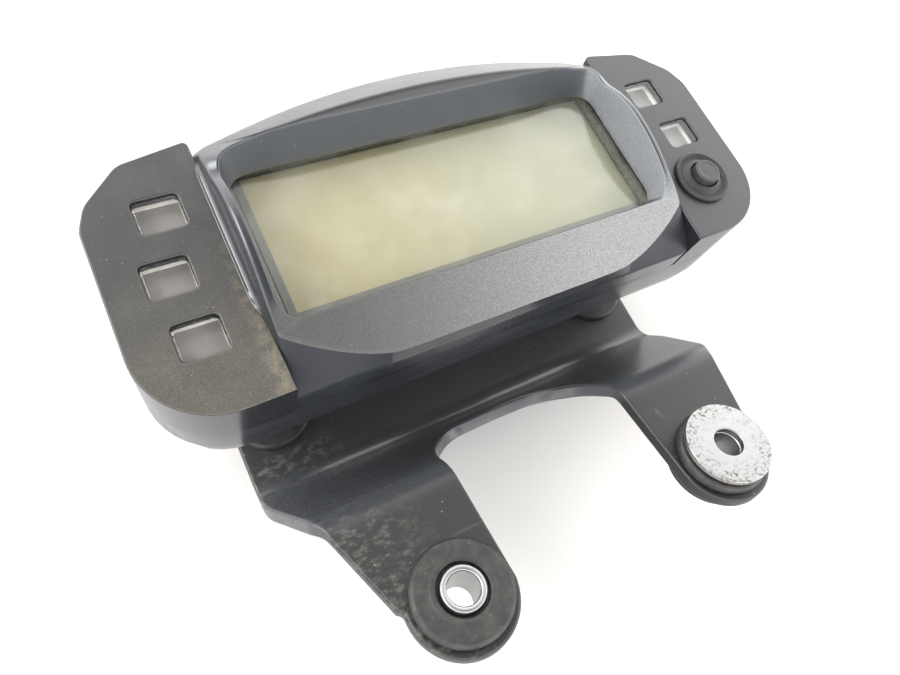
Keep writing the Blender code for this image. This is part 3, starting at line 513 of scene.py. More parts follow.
def wing_plastic():
    """Satin black moulding of the wings; dust films the left one's face, most of all beside the hood."""
    s = Surface("case_wing_plastic")
    face = s.ramp(s.facing("Z"), 0.4, 0.9)
    left = s.times(s.ramp(s.x, -46.0, -52.0), face)
    grain = s.noise(0.38, 4.0, 0.8)
    film = s.ramp(s.noise(6.0, 5.0, 0.6), 0.30, 0.75)
    low = s.ramp(s.y, 12.0, -26.0)
    beside = s.times(s.ramp(s.x, -54.0, -50.6), s.ramp(s.y, 14.0, -6.0))
    edge = s.times(s.ramp(s.noise(2.0, 4.0), 0.35, 0.6), beside)
    dust = s.calc(s.times(film, 0.16), s.calc(s.times(low, 0.42), s.times(edge, 0.8)))
    dust = s.times(s.times(dust, left), s.ramp(grain, 0.34, 0.64, 0.35, 1.0))
    base = s.mix(s.ramp(grain, 0.34, 0.66), (0.005, 0.0055, 0.0065), (0.0125, 0.013, 0.0145))
    tan = s.mix(s.noise(1.6, 4.0), (0.055, 0.048, 0.032), (0.110, 0.095, 0.064))
    colour = s.mix(dust, base, tan)
    colour = s.mix(s.times(specks(s, 1.1, (0.50, 0.62), 0.45), face), colour, (0.20, 0.19, 0.15))
    colour = s.mix(s.times(scratches(s, 1.8, 0.12), face), colour, (0.13, 0.135, 0.14))
    rough = s.calc(s.ramp(face, 0.0, 1.0, 0.22, 0.42), s.times(dust, 0.20))
    return s.done(colour, rough, s.bump(s.times(grain, face), 0.010))


def smooth_plastic():
    """Polished outside of the hood and the case's walls."""
    s = Surface("case_smooth_plastic")
    haze = s.ramp(s.noise(9.0, 4.0), 0.35, 0.7)
    colour = s.mix(haze, (0.010, 0.011, 0.013), (0.016, 0.0175, 0.020))
    colour = s.mix(scratches(s, 2.2, 0.10), colour, (0.10, 0.105, 0.11))
    colour = s.mix(specks(s, 1.5, (0.52, 0.62), 0.35), colour, (0.17, 0.165, 0.15))
    return s.done(colour, s.ramp(s.noise(12.0, 3.0), 0.3, 0.7, 0.20, 0.25))


def facet_plastic():
    """Matt slate plane between the face band and the lower edge."""
    s = Surface("case_facet_plastic")
    colour = s.mix(s.noise(8.0, 3.0), (0.013, 0.014, 0.018), (0.018, 0.0195, 0.024))
    colour = s.mix(specks(s, 1.5, (0.52, 0.62), 0.3), colour, (0.10, 0.10, 0.095))
    return s.done(colour, 0.34, s.bump(s.noise(0.4, 3.0), 0.003), gloss=0.12)


def grained_plastic():
    """Spark-eroded texture of the face band, painted paler to the right as a painted sheen, and fading out
    up the rim.
    """
    s = Surface("case_grained_plastic")
    pits = s.cells(0.26)
    coarse = s.noise(0.27, 3.0, 0.7)
    relief = s.calc(s.times(pits, 0.7), s.times(coarse, 0.7))
    # painted sheen: the band is painted paler towards the right, standing in for the brighter reflection it
    # shows there; the mix below also carries the real grain
    painted_sheen_rightward = s.ramp(s.x, -42.0, 36.0)
    grainy = s.ramp(coarse, 0.36, 0.66, 0.62, 1.38)
    painted_light_mix = s.times(s.calc(s.times(painted_sheen_rightward, 0.66), 0.12), grainy)
    colour = s.mix(painted_light_mix, (0.008, 0.008, 0.007), (0.175, 0.178, 0.178))
    colour = s.mix(specks(s, 1.4, (0.50, 0.60), 0.35), colour, (0.25, 0.25, 0.23))
    upward = s.ramp(s.y, -16.5, -9.0)
    colour = s.mix(upward, colour, (0.013, 0.0145, 0.017))
    relief = s.times(relief, s.ramp(upward, 0.0, 1.0, 1.0, 0.04))
    rough = s.ramp(upward, 0.0, 1.0, 0.52, 0.22)
    return s.done(colour, rough, s.bump(relief, 0.035))


def inner_plastic():
    """Walls inside the hood: slate and smooth, grained on the right-hand side and painted paler there to
    stand in for the strong light that wall catches.
    """
    s = Surface("case_inner_plastic")
    side = s.ramp(s.x, 44.0, 45.2)
    grain = s.noise(0.34, 4.0, 0.75)
    # painted light: the right-hand wall's pale grey-blue is painted to stand in for the strong light it
    # catches, over its real grain
    painted_lit_bluish = s.mix(s.ramp(grain, 0.3, 0.7), (0.075, 0.080, 0.086), (0.135, 0.141, 0.150))
    slate = s.mix(s.noise(5.0, 3.0), (0.029, 0.032, 0.036), (0.038, 0.042, 0.048))
    colour = s.mix(side, slate, painted_lit_bluish)
    # Patchy olive towards the foot of the walls.
    olive_patches = s.times(s.ramp(s.z, -1.2, -3.2), s.ramp(s.noise(1.1, 4.0, 0.7), 0.36, 0.56))
    colour = s.mix(s.times(olive_patches, 0.75), colour, (0.045, 0.042, 0.026))
    colour = s.mix(specks(s, 1.2, (0.48, 0.60), 0.5), colour, (0.28, 0.285, 0.275))
    relief = s.times(grain, side)
    return s.done(colour, s.ramp(side, 0.0, 1.0, 0.36, 0.5), s.bump(relief, 0.04))


def bracket_plastic(name, worn):
    """Glass-filled nylon: rough grain, scuffs near the left corner, and a slicker step."""
    s = Surface(name)
    grain = s.noise(0.42, 4.0, 0.75)
    pits = s.cells(0.55)
    step = s.times(s.ramp(s.y, -54.0, -47.0), s.ramp(s.y, -29.0, -36.0))
    arms = s.ramp(s.y, -46.0, -56.0)
    dull = s.mix(s.noise(5.0, 4.0), (0.014, 0.0155, 0.017), (0.021, 0.0225, 0.024))
    earthy = s.mix(s.noise(4.0, 4.0), (0.003, 0.003, 0.003), (0.006, 0.006, 0.0055))
    colour = s.mix(arms, dull, earthy)
    fleck = s.times(s.ramp(grain, 0.56, 0.72), 0.35)
    colour = s.mix(fleck, colour, (0.045, 0.043, 0.038))
    corner = s.times(s.ramp(s.x, -28.0, -50.0), s.ramp(s.calc(s.y, 31.0), 9.0, 0.0))
    dust = s.times(s.ramp(s.noise(2.4, 6.0, 0.7, (1.0, 1.6, 1.0)), 0.46, 0.66), corner)
    colour = s.mix(s.times(dust, 0.5), colour, (0.12, 0.115, 0.10))
    colour = s.mix(scratches(s, 2.6, 0.22), colour, (0.09, 0.09, 0.085))
    colour = s.mix(specks(s, 1.7, (0.50, 0.62), 0.6), colour, (0.20, 0.185, 0.15))
    rubbed = s.times(s.ramp(s.noise(1.3, 5.0, 0.7), 0.44, 0.60), worn)
    colour = s.mix(rubbed, colour, (0.085, 0.075, 0.062))
    colour = s.mix(step, colour, (0.042, 0.0445, 0.048))
    relief = s.times(s.calc(grain, s.times(pits, 0.5)), s.ramp(step, 0.0, 1.0, 1.0, 0.08))
    rough = s.calc(s.ramp(step, 0.0, 1.0, 0.42, 0.25), s.times(dust, 0.2))
    return s.done(colour, rough, s.bump(relief, 0.022), gloss=0.4)


def rubber(name, dusty, gloss=0.36):
    """Moulded rubber with bloom and dust."""
    s = Surface(name)
    grain = s.noise(0.45, 3.0, 0.6)
    bloom = s.ramp(s.noise(2.6, 5.0, 0.65), 0.36, 0.68)
    colour = s.mix(s.times(bloom, dusty), (0.010, 0.010, 0.010), (0.036, 0.034, 0.029))
    flecks = s.times(s.ramp(s.cells(1.0), 0.17, 0.06), s.ramp(s.noise(2.5), 0.46, 0.6))
    colour = s.mix(s.times(flecks, dusty), colour, (0.14, 0.125, 0.10))
    rough = s.ramp(s.noise(1.8, 3.0), 0.3, 0.7, 0.50, 0.62)
    return s.done(colour, rough, s.bump(grain, 0.03), gloss=gloss)


def zinc(name, rust_at, rust):
    """Bright zinc with ring-shaped machining marks and brown rust between two radii."""
    s = Surface(name)
    squared = s.calc(s.times(s.x, s.x), s.times(s.y, s.y))
    radius = s.calc(squared, 0.5, "POWER")
    rings = s.node("ShaderNodeTexNoise", {"Scale": 5.0, "W": radius}, noise_dimensions="1D").outputs[0]
    spots = s.ramp(s.noise(0.8, 5.0, 0.72), 0.50, 0.60)
    where = s.times(s.ramp(radius, *rust_at), s.ramp(s.noise(3.2, 3.0), 0.34, 0.62))
    dots = s.ramp(s.cells(1.25), 0.20, 0.08)
    rusty = s.calc(s.times(s.times(spots, where), rust * 1.9), s.times(dots, rust * 0.8), "MAXIMUM")
    bright = s.mix(s.noise(1.7, 4.0), (0.235, 0.24, 0.24), (0.285, 0.29, 0.285))
    brown = s.mix(s.noise(0.9, 4.0), (0.035, 0.020, 0.012), (0.10, 0.065, 0.042))
    colour = s.mix(rusty, bright, brown)
    rough = s.calc(s.ramp(rings, 0.3, 0.7, 0.28, 0.38), s.times(rusty, 0.4))
    relief = s.calc(s.times(rings, 0.25), s.times(rusty, 0.5))
    return s.done(colour, rough, s.bump(relief, 0.02), s.ramp(rusty, 0.0, 1.0, 0.95, 0.15))


def steel():
    """Dull screw steel with brown stains."""
    s = Surface("screw_steel")
    mottled = s.noise(1.1, 4.0)
    colour = s.mix(mottled, (0.14, 0.14, 0.145), (0.26, 0.26, 0.265))
    stain = s.ramp(s.noise(1.4, 4.0, 0.7), 0.56, 0.66)
    colour = s.mix(s.times(stain, 0.5), colour, (0.16, 0.10, 0.06))
    return s.done(colour, s.ramp(mottled, 0.3, 0.7, 0.30, 0.48), s.bump(s.noise(0.3), 0.01), 0.9)


def glass(name, tint, dust, index):
    """Clear cover: mostly see-through, with a surface gloss and a thin scatter of dust."""
    s = Surface(name)
    smear = s.ramp(s.noise(11.0, 5.0, 0.6), 0.40, 0.75)
    flecks = s.ramp(s.cells(0.9), 0.11, 0.04)
    amount = s.calc(s.times(smear, dust), s.times(flecks, 0.30))
    clear = s.node("ShaderNodeBsdfTransparent", {0: tint}).outputs[0]
    gloss = s.node("ShaderNodeBsdfGlossy", {"Roughness": 0.12}).outputs[0]
    haze = s.node("ShaderNodeBsdfDiffuse", {0: (0.62, 0.62, 0.58)}).outputs[0]
    mirror = s.node("ShaderNodeFresnel", {"IOR": index}).outputs[0]
    front = s.calc(1.0, s.node("ShaderNodeNewGeometry").outputs["Backfacing"], "SUBTRACT")
    film = s.node("ShaderNodeMixShader", {0: amount, 1: clear, 2: haze}).outputs[0]
    cover = s.node("ShaderNodeMixShader", {0: s.times(mirror, front), 1: film, 2: gloss}).outputs[0]
    s.feed(s.tree.nodes["Material Output"].inputs[0], cover)
    s.tree.nodes.remove(s.shader)
    return s.material


def liquid_crystal():
    """Unlit display: grey-green field, greyer to the right, with painted shadow at its top and right; its
    seal is olive and patchy along those edges.
    """
    s = Surface("liquid_crystal")
    left, right, low, high = LCD_VIEW
    field = s.mix(s.ramp(s.x, left, right), (0.235, 0.212, 0.122), (0.205, 0.208, 0.155))
    # painted shadow: the field darkens near its top and right edges, where the hood's walls shadow it
    painted_light_mix = s.calc(s.ramp(s.y, high - 3.4, high), s.ramp(s.x, right - 3.0, right), "MAXIMUM")
    field = s.mix(s.times(painted_light_mix, 0.45), field, (0.06, 0.06, 0.045))
    inside = s.times(
        s.times(s.ramp(s.x, left - 0.1, left + 0.1), s.ramp(s.x, right + 0.1, right - 0.1)),
        s.times(s.ramp(s.y, low - 0.1, low + 0.1), s.ramp(s.y, high + 0.1, high - 0.1)),
    )
    seal = s.mix(s.noise(1.0, 3.0), (0.060, 0.061, 0.058), (0.085, 0.086, 0.082))
    patchy = s.ramp(s.noise(0.6, 5.0, 0.75), 0.42, 0.66)
    # Darker olive patches along the seal's right and upper edges.
    olive_patches = s.mix(patchy, (0.008, 0.009, 0.007), (0.075, 0.074, 0.054))
    upper_right_band = s.calc(s.ramp(s.x, right - 1.5, right), s.ramp(s.y, high - 1.0, high), "MAXIMUM")
    colour = s.mix(inside, s.mix(upper_right_band, seal, olive_patches), field)
    return s.done(colour, 0.45)


def smoked_print():
    """Grey-brown diffusing layer at the foot of the warning windows, painted paler and cooler on the
    right-hand strip to stand in for the brighter look of its windows.
    """
    s = Surface("smoked_print")
    cloud = s.ramp(s.noise(2.8, 4.0), 0.3, 0.7)
    warm = s.mix(cloud, (0.145, 0.136, 0.127), (0.175, 0.164, 0.152))
    # painted light: the paler grey of the right-hand strip stands in for the brighter look its windows have
    # at a grazing view
    painted_lit_cool = s.mix(cloud, (0.185, 0.185, 0.187), (0.235, 0.237, 0.240))
    colour = s.mix(s.ramp(s.x, -20.0, 20.0), warm, painted_lit_cool)
    return s.done(colour, 0.42, s.bump(s.noise(0.4), 0.003))


def pad_edge_highlight():
    """Chamfer round each window pad, painted pale as a painted highlight along its edge."""
    s = Surface("pad_edge_highlight")
    # painted highlight: the pale grey stands in for the light the chamfer catches
    colour = s.mix(s.noise(0.7, 4.0), (0.10, 0.098, 0.09), (0.18, 0.176, 0.165))
    return s.done(colour, 0.3, s.bump(s.noise(0.3), 0.005))


def plain(name, first, second, roughness, size=1.0, metallic=0.0):
    """Two-tone mottled finish for parts inside the case."""
    s = Surface(name)
    cloud = s.noise(size, 4.0, 0.6)
    colour = s.mix(s.ramp(cloud, 0.3, 0.7), first, second)
    rough = s.ramp(s.noise(size * 2.0), 0.3, 0.7, roughness - 0.05, roughness + 0.08)
    return s.done(colour, rough, s.bump(cloud, 0.01), metallic)


def board_lacquer():
    """Solder resist with paler copper tracks showing through."""
    s = Surface("board_lacquer")
    tracks = s.ramp(s.noise(1.4, 1.0, 0.4, (1.0, 0.12, 1.0)), 0.49, 0.51)
    colour = s.mix(tracks, (0.014, 0.085, 0.035), (0.030, 0.16, 0.065))
    return s.done(colour, 0.32, s.bump(tracks, 0.02))


# -------- front case

def arch_y(x):
    """Back edge of the case."""
    return ARCH_TOP - ARCH_RADIUS + math.sqrt(ARCH_RADIUS ** 2 - x ** 2)


def wing_edge():
    """Outer edge of the right wing, lower inner corner to upper inner corner."""
    corner = (HALF_WIDTH - LOWER_CORNER, CASE_BOTTOM + LOWER_CORNER)
    upper = filleted(
        [(HALF_WIDTH, 0.0), (HALF_WIDTH, WING_SIDE_TOP), WING_SHOULDER, WING_TOP_OUTER, WING_TOP_INNER],
        [0.0, 7.0, 7.0, 5.0, 0.0], steps=10, closed=False,
    )
    return arc(corner, LOWER_CORNER, -90.0, 0.0, 40) + upper


def case_outline():
    arch = [(x, arch_y(x)) for x in (44.0, 40.0, 36.0, 31.0, 27.0, 22.0, 18.0, 13.0, 9.0, 4.5, 0.0)]
    return mirrored([(0.0, CASE_BOTTOM), (30.0, CASE_BOTTOM)] + wing_edge() + arch)


def rim_z(y):
    """Height of the hood's side rims."""
    spread = 45.6 if y > RIM_PEAK_Y else 97.0
    return RIM_PEAK_Z - (y - RIM_PEAK_Y) ** 2 / spread


def lip_z(x):
    fall = min(1.0, max(0.0, (x - 26.0) / 15.0))
    return LIP_Z + (LIP_END_Z - LIP_Z) * fall ** 2


def crest(x):
    arch = max(0.0, 1.0 - (x / CREST_HALF_WIDTH) ** 2)
    return (x * 1.02, LIP_Y + 0.3 + CREST_RISE[0] * arch, lip_z(x) + 0.2 + CREST_RISE[1] * arch)


def key_stations():
    """Sections of the hood from bottom centre to top centre: (opening, edge, bulge, foot, flare)."""
    stations = []
    for x in (0.0, 7.0, 14.0, 21.0, BAND_EDGE[0]):
        opening = (x * 0.93, OPENING_BOTTOM, OPENING_BOTTOM_Z)
        stations.append((opening, (x, BAND_EDGE[1], BAND_EDGE[2]), None, (x, CASE_BOTTOM, CREASE_Z), 0.0))
    for i in range(1, 9):
        t = i / 8.0
        opening = (26.0 + 16.5 * t, OPENING_BOTTOM, OPENING_BOTTOM_Z)
        foot_x = BAND_EDGE[0] + (HOOD_FOOT - BAND_EDGE[0]) * t
        foot = (foot_x, CASE_BOTTOM + (0.05 if foot_x > 48.0 else 0.0), CREASE_Z)
        stations.append((opening, bezier(BAND_EDGE, BAND_BEND, BAND_TIP, t), None, foot, 0.0))
    corner = (HOOD_RIM_INNER - 0.4 - OPENING_CORNER, OPENING_BOTTOM + OPENING_CORNER)
    turns = arc(corner, OPENING_CORNER, -70.0, -14.0, 4)
    for i, (x, y) in enumerate(turns):
        t = i / 4.0
        edge_y = -17.4 + 3.0 * t
        foot = (HOOD_FOOT, -25.8 + 7.0 * t, -4.6 + 2.6 * t)
        edge = (HOOD_RIM_OUTER, edge_y, rim_z(edge_y))
        stations.append(((x, y, rim_z(y) - 0.4), edge, None, foot, 0.0))
    for i in range(16):
        y = -12.5 + 30.0 * i / 15.0
        foot = (HOOD_FOOT, y - 2.0 + 4.0 * i / 15.0, -1.5)
        flare = min(1.0, i / 2.0)
        edge = (HOOD_RIM_OUTER, y, rim_z(y) - 0.15)
        stations.append(((HOOD_RIM_INNER, y, rim_z(y) + 0.05), edge, None, foot, flare))
    for x, y, edge, foot, flare in (
        (46.9, 19.6, (49.2, 20.6, 2.6), (HOOD_FOOT, 21.8, -1.8), 0.85),
        (45.6, 21.2, (49.2, 23.6, 1.5), (HOOD_FOOT, 25.0, -2.4), 0.3),
        (43.4, 22.1, (47.9, 26.2, 0.2), (HOOD_FOOT - 0.4, 27.9, -3.6), 0.0),
    ):
        stations.append(((x, y, LIP_END_Z), edge, None, foot, flare))
    for x in (40.0, 37.5, 35.0, 32.0, 28.0, 24.0, 20.0, 15.0, 10.0, 5.0, 0.0):
        edge = crest(x)
        foot = (x * 1.18, arch_y(x * 1.18) - 0.1, ARCH_FOOT_Z)
        bulge = (x * 1.12, edge[1] * 0.32 + foot[1] * 0.68, edge[2] * 0.66 + foot[2] * 0.34)
        stations.append(((x, LIP_Y, lip_z(x)), edge, bulge, foot, 0.0))
    return stations


def hood_section(opening, edge, bulge, foot, flare):
    """One section from the parting plane over the rim to the display; flare hollows it beside a wing."""
    foot = Vector(foot)
    edge = Vector(edge)
    base = Vector((foot.x, foot.y, PARTING_Z))
    skirt = foot + Vector((0.7 * flare, 0.0, 0.0))
    toe = foot.lerp(edge, 0.30)
    middle = Vector(bulge) if bulge else foot.lerp(edge, 0.6)
    root = Vector((foot.x + 0.75, foot.y, 0.2))
    sweeps = [math.radians(angle) for angle in (22.0, 42.0, 62.0, 82.0)]
    flank = [Vector(bezier(toe, middle, edge, k / 5.0)) for k in range(1, 5)]
    hollow = [root + Vector((-math.sin(a), 0.0, 1.0 - math.cos(a))) * ROOT_FILLET for a in sweeps]
    flank = [a.lerp(b, flare) for a, b in zip(flank, hollow)]
    floor = Vector((opening[0] * 0.968, opening[1] * 0.86, FLOOR_Z))
    outline = [base, skirt, toe.lerp(root, flare), *flank, edge, Vector(opening), floor]
    radii = [0.0, 0.7 - 0.5 * flare, 0.9 - 0.7 * flare, 0.0, 0.0, 0.0, 0.0, 0.8, 0.5, 0.0]
    return softened(outline, radii)


def dense_rails(sections, copies, passes):
    """Insert sections between the key ones and smooth along the hood, ends kept."""
    rows = []
    for current, following in zip(sections, sections[1:]):
        for k in range(copies):
            rows.append([a.lerp(b, k / copies) for a, b in zip(current, following)])
    rows.append(sections[-1])
    for _ in range(passes):
        inner = [
            [b * 0.5 + (a + c) * 0.25 for a, b, c in zip(rows[i - 1], rows[i], rows[i + 1])]
            for i in range(1, len(rows) - 1)
        ]
        rows = [rows[0], *inner, rows[-1]]
    return rows


def make_hood():
    """Loft the hood; the band and rim round the display are grained, the crest satin, the rest polished."""
    stations = key_stations()
    sections = [hood_section(*station) for station in stations]
    rows = dense_rails(sections, ROWS_PER_STATION, 5)
    points = len(rows[0])
    rings = [mirrored([tuple(row[i]) for row in rows]) for i in range(points)]
    opening_at = points - 1 - 5
    edge_at = opening_at - 5
    facet_rows = [station * ROWS_PER_STATION for station in FACET_STATIONS]
    first_crest_row = len(rows) - 1 - CREST_STATIONS * ROWS_PER_STATION

    def region(level, column):
        row = min(column, 2 * (len(rows) - 1) - column)
        if level >= opening_at + 2:
            return INNER
        if level < edge_at:
            on_facet = level > 0 and facet_rows[0] <= row < facet_rows[1]
            return FACET if on_facet else POLISHED
        return SATIN if row >= first_crest_row else GRAINED

    return loft("case_front", rings, region)


def window_outline(x, y, shrink=0.0):
    half_x, half_y = WINDOW_SIZE[0] / 2.0 - shrink, WINDOW_SIZE[1] / 2.0 - shrink
    return [(x + u, y + v) for u, v in rounded_box(half_x, -half_y, half_y, WINDOW_CORNER - shrink)]


def windows(side):
    return [(side * x, y) for x, y in WINDOW_CENTRES[:3 if side < 0 else 2]]


def wing_outline():
    foot = (WING_INNER_FOOT, CASE_BOTTOM)
    top = filleted([WING_TOP_OUTER, WING_TOP_INNER, foot], [0.0, 1.1, 0.0], steps=6, closed=False)[1:-1]
    return [foot] + wing_edge()[:-1] + top


def make_wing(side):
    outline = [(side * x, y) for x, y in wing_outline()][::side]
    wing = slab("wing", outline, PARTING_Z, 0.0)
    pocket = [(x, y) for x, y in offset([(WING_INNER_FOOT, CASE_BOTTOM)] + wing_edge(), WALL + GAP)]
    pocket = [(x, y) for x, y in pocket if x > WING_POCKET_X]
    pocket = [(WING_POCKET_X, pocket[0][1])] + pocket + [(WING_POCKET_X, pocket[-1][1])]
    pocket = [(side * x, y) for x, y in pocket][::side]
    combine(wing, slab("pocket", pocket, PARTING_Z - 2.0, -WALL))
    for x, y in windows(side):
        combine(wing, slab("window", window_outline(x, y), -WALL - 2.0, 2.0))
    if side > 0:
        combine(wing, drill(BUTTON_CENTRE, BOOT_RADIUS - 1.2, -WALL - 2.0, 2.0, 36))
    return bevel_above(wing, -1.0, 0.4)


def make_front_case(materials):
    case = make_hood()
    for side in (1, -1):
        combine(case, make_wing(side), "UNION")
    cavity = [(x, y) for x, y in offset(case_outline(), WALL)]
    combine(case, slab("cavity", cavity, PARTING_Z - 2.0, CAVITY_TOP_Z))
    seats = (
        (LENS_SIZE[0] + 2 * GAP, LENS_SIZE[1] + 2 * GAP, LENS_TOP_Z + GAP),
        (*HOLDER_SEAT, HOLDER_SEAT_TOP),
    )
    for width, height, top in seats:
        combine(case, slab("seat", display_box(width, height, 0.6), -10.0, top))
    smooth(case, 45.0)
    return show(case, materials, "black_plastic", "front_case")


# -------- wings' windows, button, display

def make_telltales(clear, rim, printed):
    """Each window holds a clear raised pad over the grey-brown print of the lens strip."""
    for name, side in (("left", -1), ("right", 1)):
        centres = windows(side)
        low = centres[-1][1] - STRIP_MARGINS[0]
        high = centres[0][1] + STRIP_MARGINS[1]
        strip = [(x + side * STRIP_CENTRE_X, y) for x, y in rounded_box(STRIP_HALF_WIDTH, low, high, 0.8)]
        lens = bevel(slab(f"telltale_strip_{name}", strip, *STRIP_Z), 0.15, 2)
        show(smooth(lens), [printed], "smoked_lens", f"telltale_lens_{name}")
        for i, (x, y) in enumerate(centres, start=1):
            pad = slab(f"telltale_pad_{name}_{i}", window_outline(x, y, PAD_GAP), *PAD_Z)
            # the chamfer faces take the second material, a painted highlight
            bevel(pad, 0.22, 2, clamped=False, material=1)
            show(smooth(pad, 20.0), [clear, rim], "smoked_lens")


def make_button(boot_rubber, cap_rubber):
    """Ribbed surround fixed in the wing, and the cap that slides in it."""
    rim = BOOT_RADIUS
    hole = BUTTON_RADIUS + GAP
    boot = profile_of(
        [(hole, -2.5), (hole, 1.5), (hole + 0.5, 1.45), (rim - 1.5, 0.35), (rim - 0.85, 1.2),
         (rim - 0.4, 1.2), (rim, 0.75), (rim, 0.1), (rim - 1.5, 0.1), (rim - 1.5, -2.5), (rim, -2.5),
         (rim, -3.7), (hole, -3.7), (hole, -2.5)],
        [0.0, 0.12, 0.4, 0.5, 0.35, 0.35, 0.3, 0.2, 0.2, 0.2, 0.3, 0.3, 0.1, 0.0],
    )
    at = (*BUTTON_CENTRE, 0.0)
    surround = lay(turned("button_boot_moulding", boot[:-1]), at)
    show(surround, [boot_rubber], "rubber", "button_boot")
    top = BUTTON_TOP_Z
    cap = profile_of(
        [(0.0, top - 0.12), (BUTTON_RADIUS - 1.1, top - 0.12), (BUTTON_RADIUS - 0.7, top),
         (BUTTON_RADIUS - 0.1, top - 0.1), (BUTTON_RADIUS, -2.0), (1.8, -2.4), (1.8, -4.6), (0.0, -4.6)],
        [0.0, 0.4, 0.3, 0.5, 0.3, 0.3, 0.2, 0.0],
    )
    dome = lay(turned("button_dome", cap), at)
    show(dome, [cap_rubber], "rubber", "button_cap", body="button")


def make_display(cover, crystal):
    width, height, thickness = LENS_SIZE
    pane = slab("display_window", display_box(width, height, 0.7), LENS_TOP_Z - thickness, LENS_TOP_Z)
    show(smooth(bevel(pane, 0.35, 3)), [cover], "clear_lens", "display_lens")
    cell = slab("display_cell", display_box(*CELL_SIZE, 0.4), *CELL_Z)
    show(smooth(bevel(cell, 0.15, 2)), [crystal], "lcd_glass", "lcd_panel")


# -------- bracket

def sheet_section():
    """Upper line of the bent sheet in (y, z), with its running length."""
    slope = math.tan(ARM_TILT)
    far_y = ARM_Y - ARM_TIP_RADIUS - 4.0
    far_z = STEP_HEAD[1] + (STEP_HEAD[0] - far_y) * slope
    line = filleted(
        [(PLATE_TOP_Y + 4.0, PLATE_Z), STEP_FOOT, STEP_HEAD, (far_y, far_z)],
        [0.0, *STEP_FILLETS, 0.0], steps=14, closed=False,
    )
    return [Vector(point) for point in line]


def arm_z():
    return STEP_HEAD[1] + (STEP_HEAD[0] - ARM_Y) * math.tan(ARM_TILT)


def bracket_outline():
    tip = (ARM_X, ARM_Y)
    inside = filleted(
        [(0.0, ARCH_CUT_Y), (13.0, ARCH_CUT_Y - 0.4), (ARM_INNER_X, -44.0), (ARM_INNER_X, ARM_Y)],
        [0.0, 20.0, 7.0, 0.0], steps=14, closed=False,
    )
    outside = filleted(
        [(46.4, -70.0), (52.7, -50.0), (PLATE_HALF_WIDTH, -38.5), (PLATE_HALF_WIDTH, -4.0),
         (18.0, PLATE_TOP_Y), (0.0, PLATE_TOP_Y)],
        [0.0, 9.0, 7.0, 9.0, 12.0, 0.0], steps=12, closed=False,
    )
    return mirrored(inside + arc(tip, ARM_TIP_RADIUS, -170.0, 8.0, 48) + outside)


def make_bracket(materials):
    """Flat blank with rounded edges, cut into fine rows and laid on the bent section."""
    blank = slab("bracket_sheet", bracket_outline(), -SHEET, 0.0)
    for _, x, y in DAMPERS:
        combine(blank, drill((x, y), NECK_RADIUS + GAP, -9.0, 5.0))
    half, low, high = SOCKET_WINDOW
    combine(blank, slab("window", rounded_box(half, low, high, 5.0), -9.0, 5.0))
    bevel(blank, 0.7, 3, 50.0, clamped=False, material=1)
    line = sheet_section()
    normals = []
    for i, _ in enumerate(line):
        run = line[min(i + 1, len(line) - 1)] - line[max(i - 1, 0)]
        normals.append(Vector((run.y, -run.x)).normalized())
    bm = bmesh.new()
    bm.from_mesh(blank.data)
    bmesh.ops.triangulate(bm, faces=[face for face in bm.faces if len(face.verts) > 4])
    for point in line[1:-1]:
        geometry = bm.verts[:] + bm.edges[:] + bm.faces[:]
        bmesh.ops.bisect_plane(bm, geom=geometry, plane_co=(0.0, point.x * MM, 0.0), plane_no=(0, 1, 0))
    for vert in bm.verts:
        y = vert.co.y / MM
        depth = -vert.co.z / MM
        k = next(i for i in range(1, len(line)) if line[i].x <= y or i == len(line) - 1)
        share = (line[k - 1].x - y) / (line[k - 1].x - line[k].x)
        on_line = line[k - 1].lerp(line[k], share)
        normal = normals[k - 1].lerp(normals[k], share).normalized()
        placed = on_line - normal * depth
        vert.co = Vector((vert.co.x, placed.x * MM, placed.y * MM))
    bmesh.ops.triangulate(bm, faces=bm.faces[:])
    bm.to_mesh(blank.data)
    bm.free()
    for side in (1, -1):
        hole = drill((0.0, 0.0), NECK_RADIUS + GAP, -SHEET - 3.0, 3.0)
        hole.location = DATUM + Vector((side * ARM_X, ARM_Y, arm_z())) * MM
        hole.rotation_euler = (-ARM_TILT, 0.0, 0.0)
        combine(blank, hole)
    smooth(blank, 35.0)
    return show(blank, materials, "grained_black_plastic", "bracket")


# -------- mounts

def grommet(name, flange_radius, recess):
    """Rubber spool with a raised rim round its bore."""
    bore = SLEEVE_RADIUS + 0.1
    top = GAP + FLANGE
    low = -SHEET - GAP
    bottom = low - FLANGE
    outline = profile_of(
        [(bore, top - 1.4), (bore + recess, top - 1.3), (bore + recess, top - 0.05),
         (bore + recess + 0.9, top + 0.12), (bore + recess + 1.5, top - 0.12),
         (flange_radius - 0.6, top - 0.15),
         (flange_radius, top - 0.9), (flange_radius, 0.05), (NECK_RADIUS, 0.05), (NECK_RADIUS, low + 0.25),
         (flange_radius, low + 0.25), (flange_radius, bottom + 0.2), (flange_radius - 0.9, bottom),
         (bore, bottom), (bore, top - 1.4)],
        [0.0, 0.1, 0.3, 0.3, 0.3, 0.5, 0.5, 0.3, 0.2, 0.2, 0.3, 0.4, 0.4, 0.3, 0.0],
    )
    return turned(name, outline[:-1])


def tube(name, outer, inner, low, high, edge):
    """Plain sleeve or washer with rounded edges."""
    outline = profile_of(
        [(inner, (low + high) / 2.0), (inner, high), (outer, high), (outer, low), (inner, low),
         (inner, (low + high) / 2.0)],
        [0.0, edge, edge, edge, edge, 0.0],
    )
    return turned(name, outline[:-1])


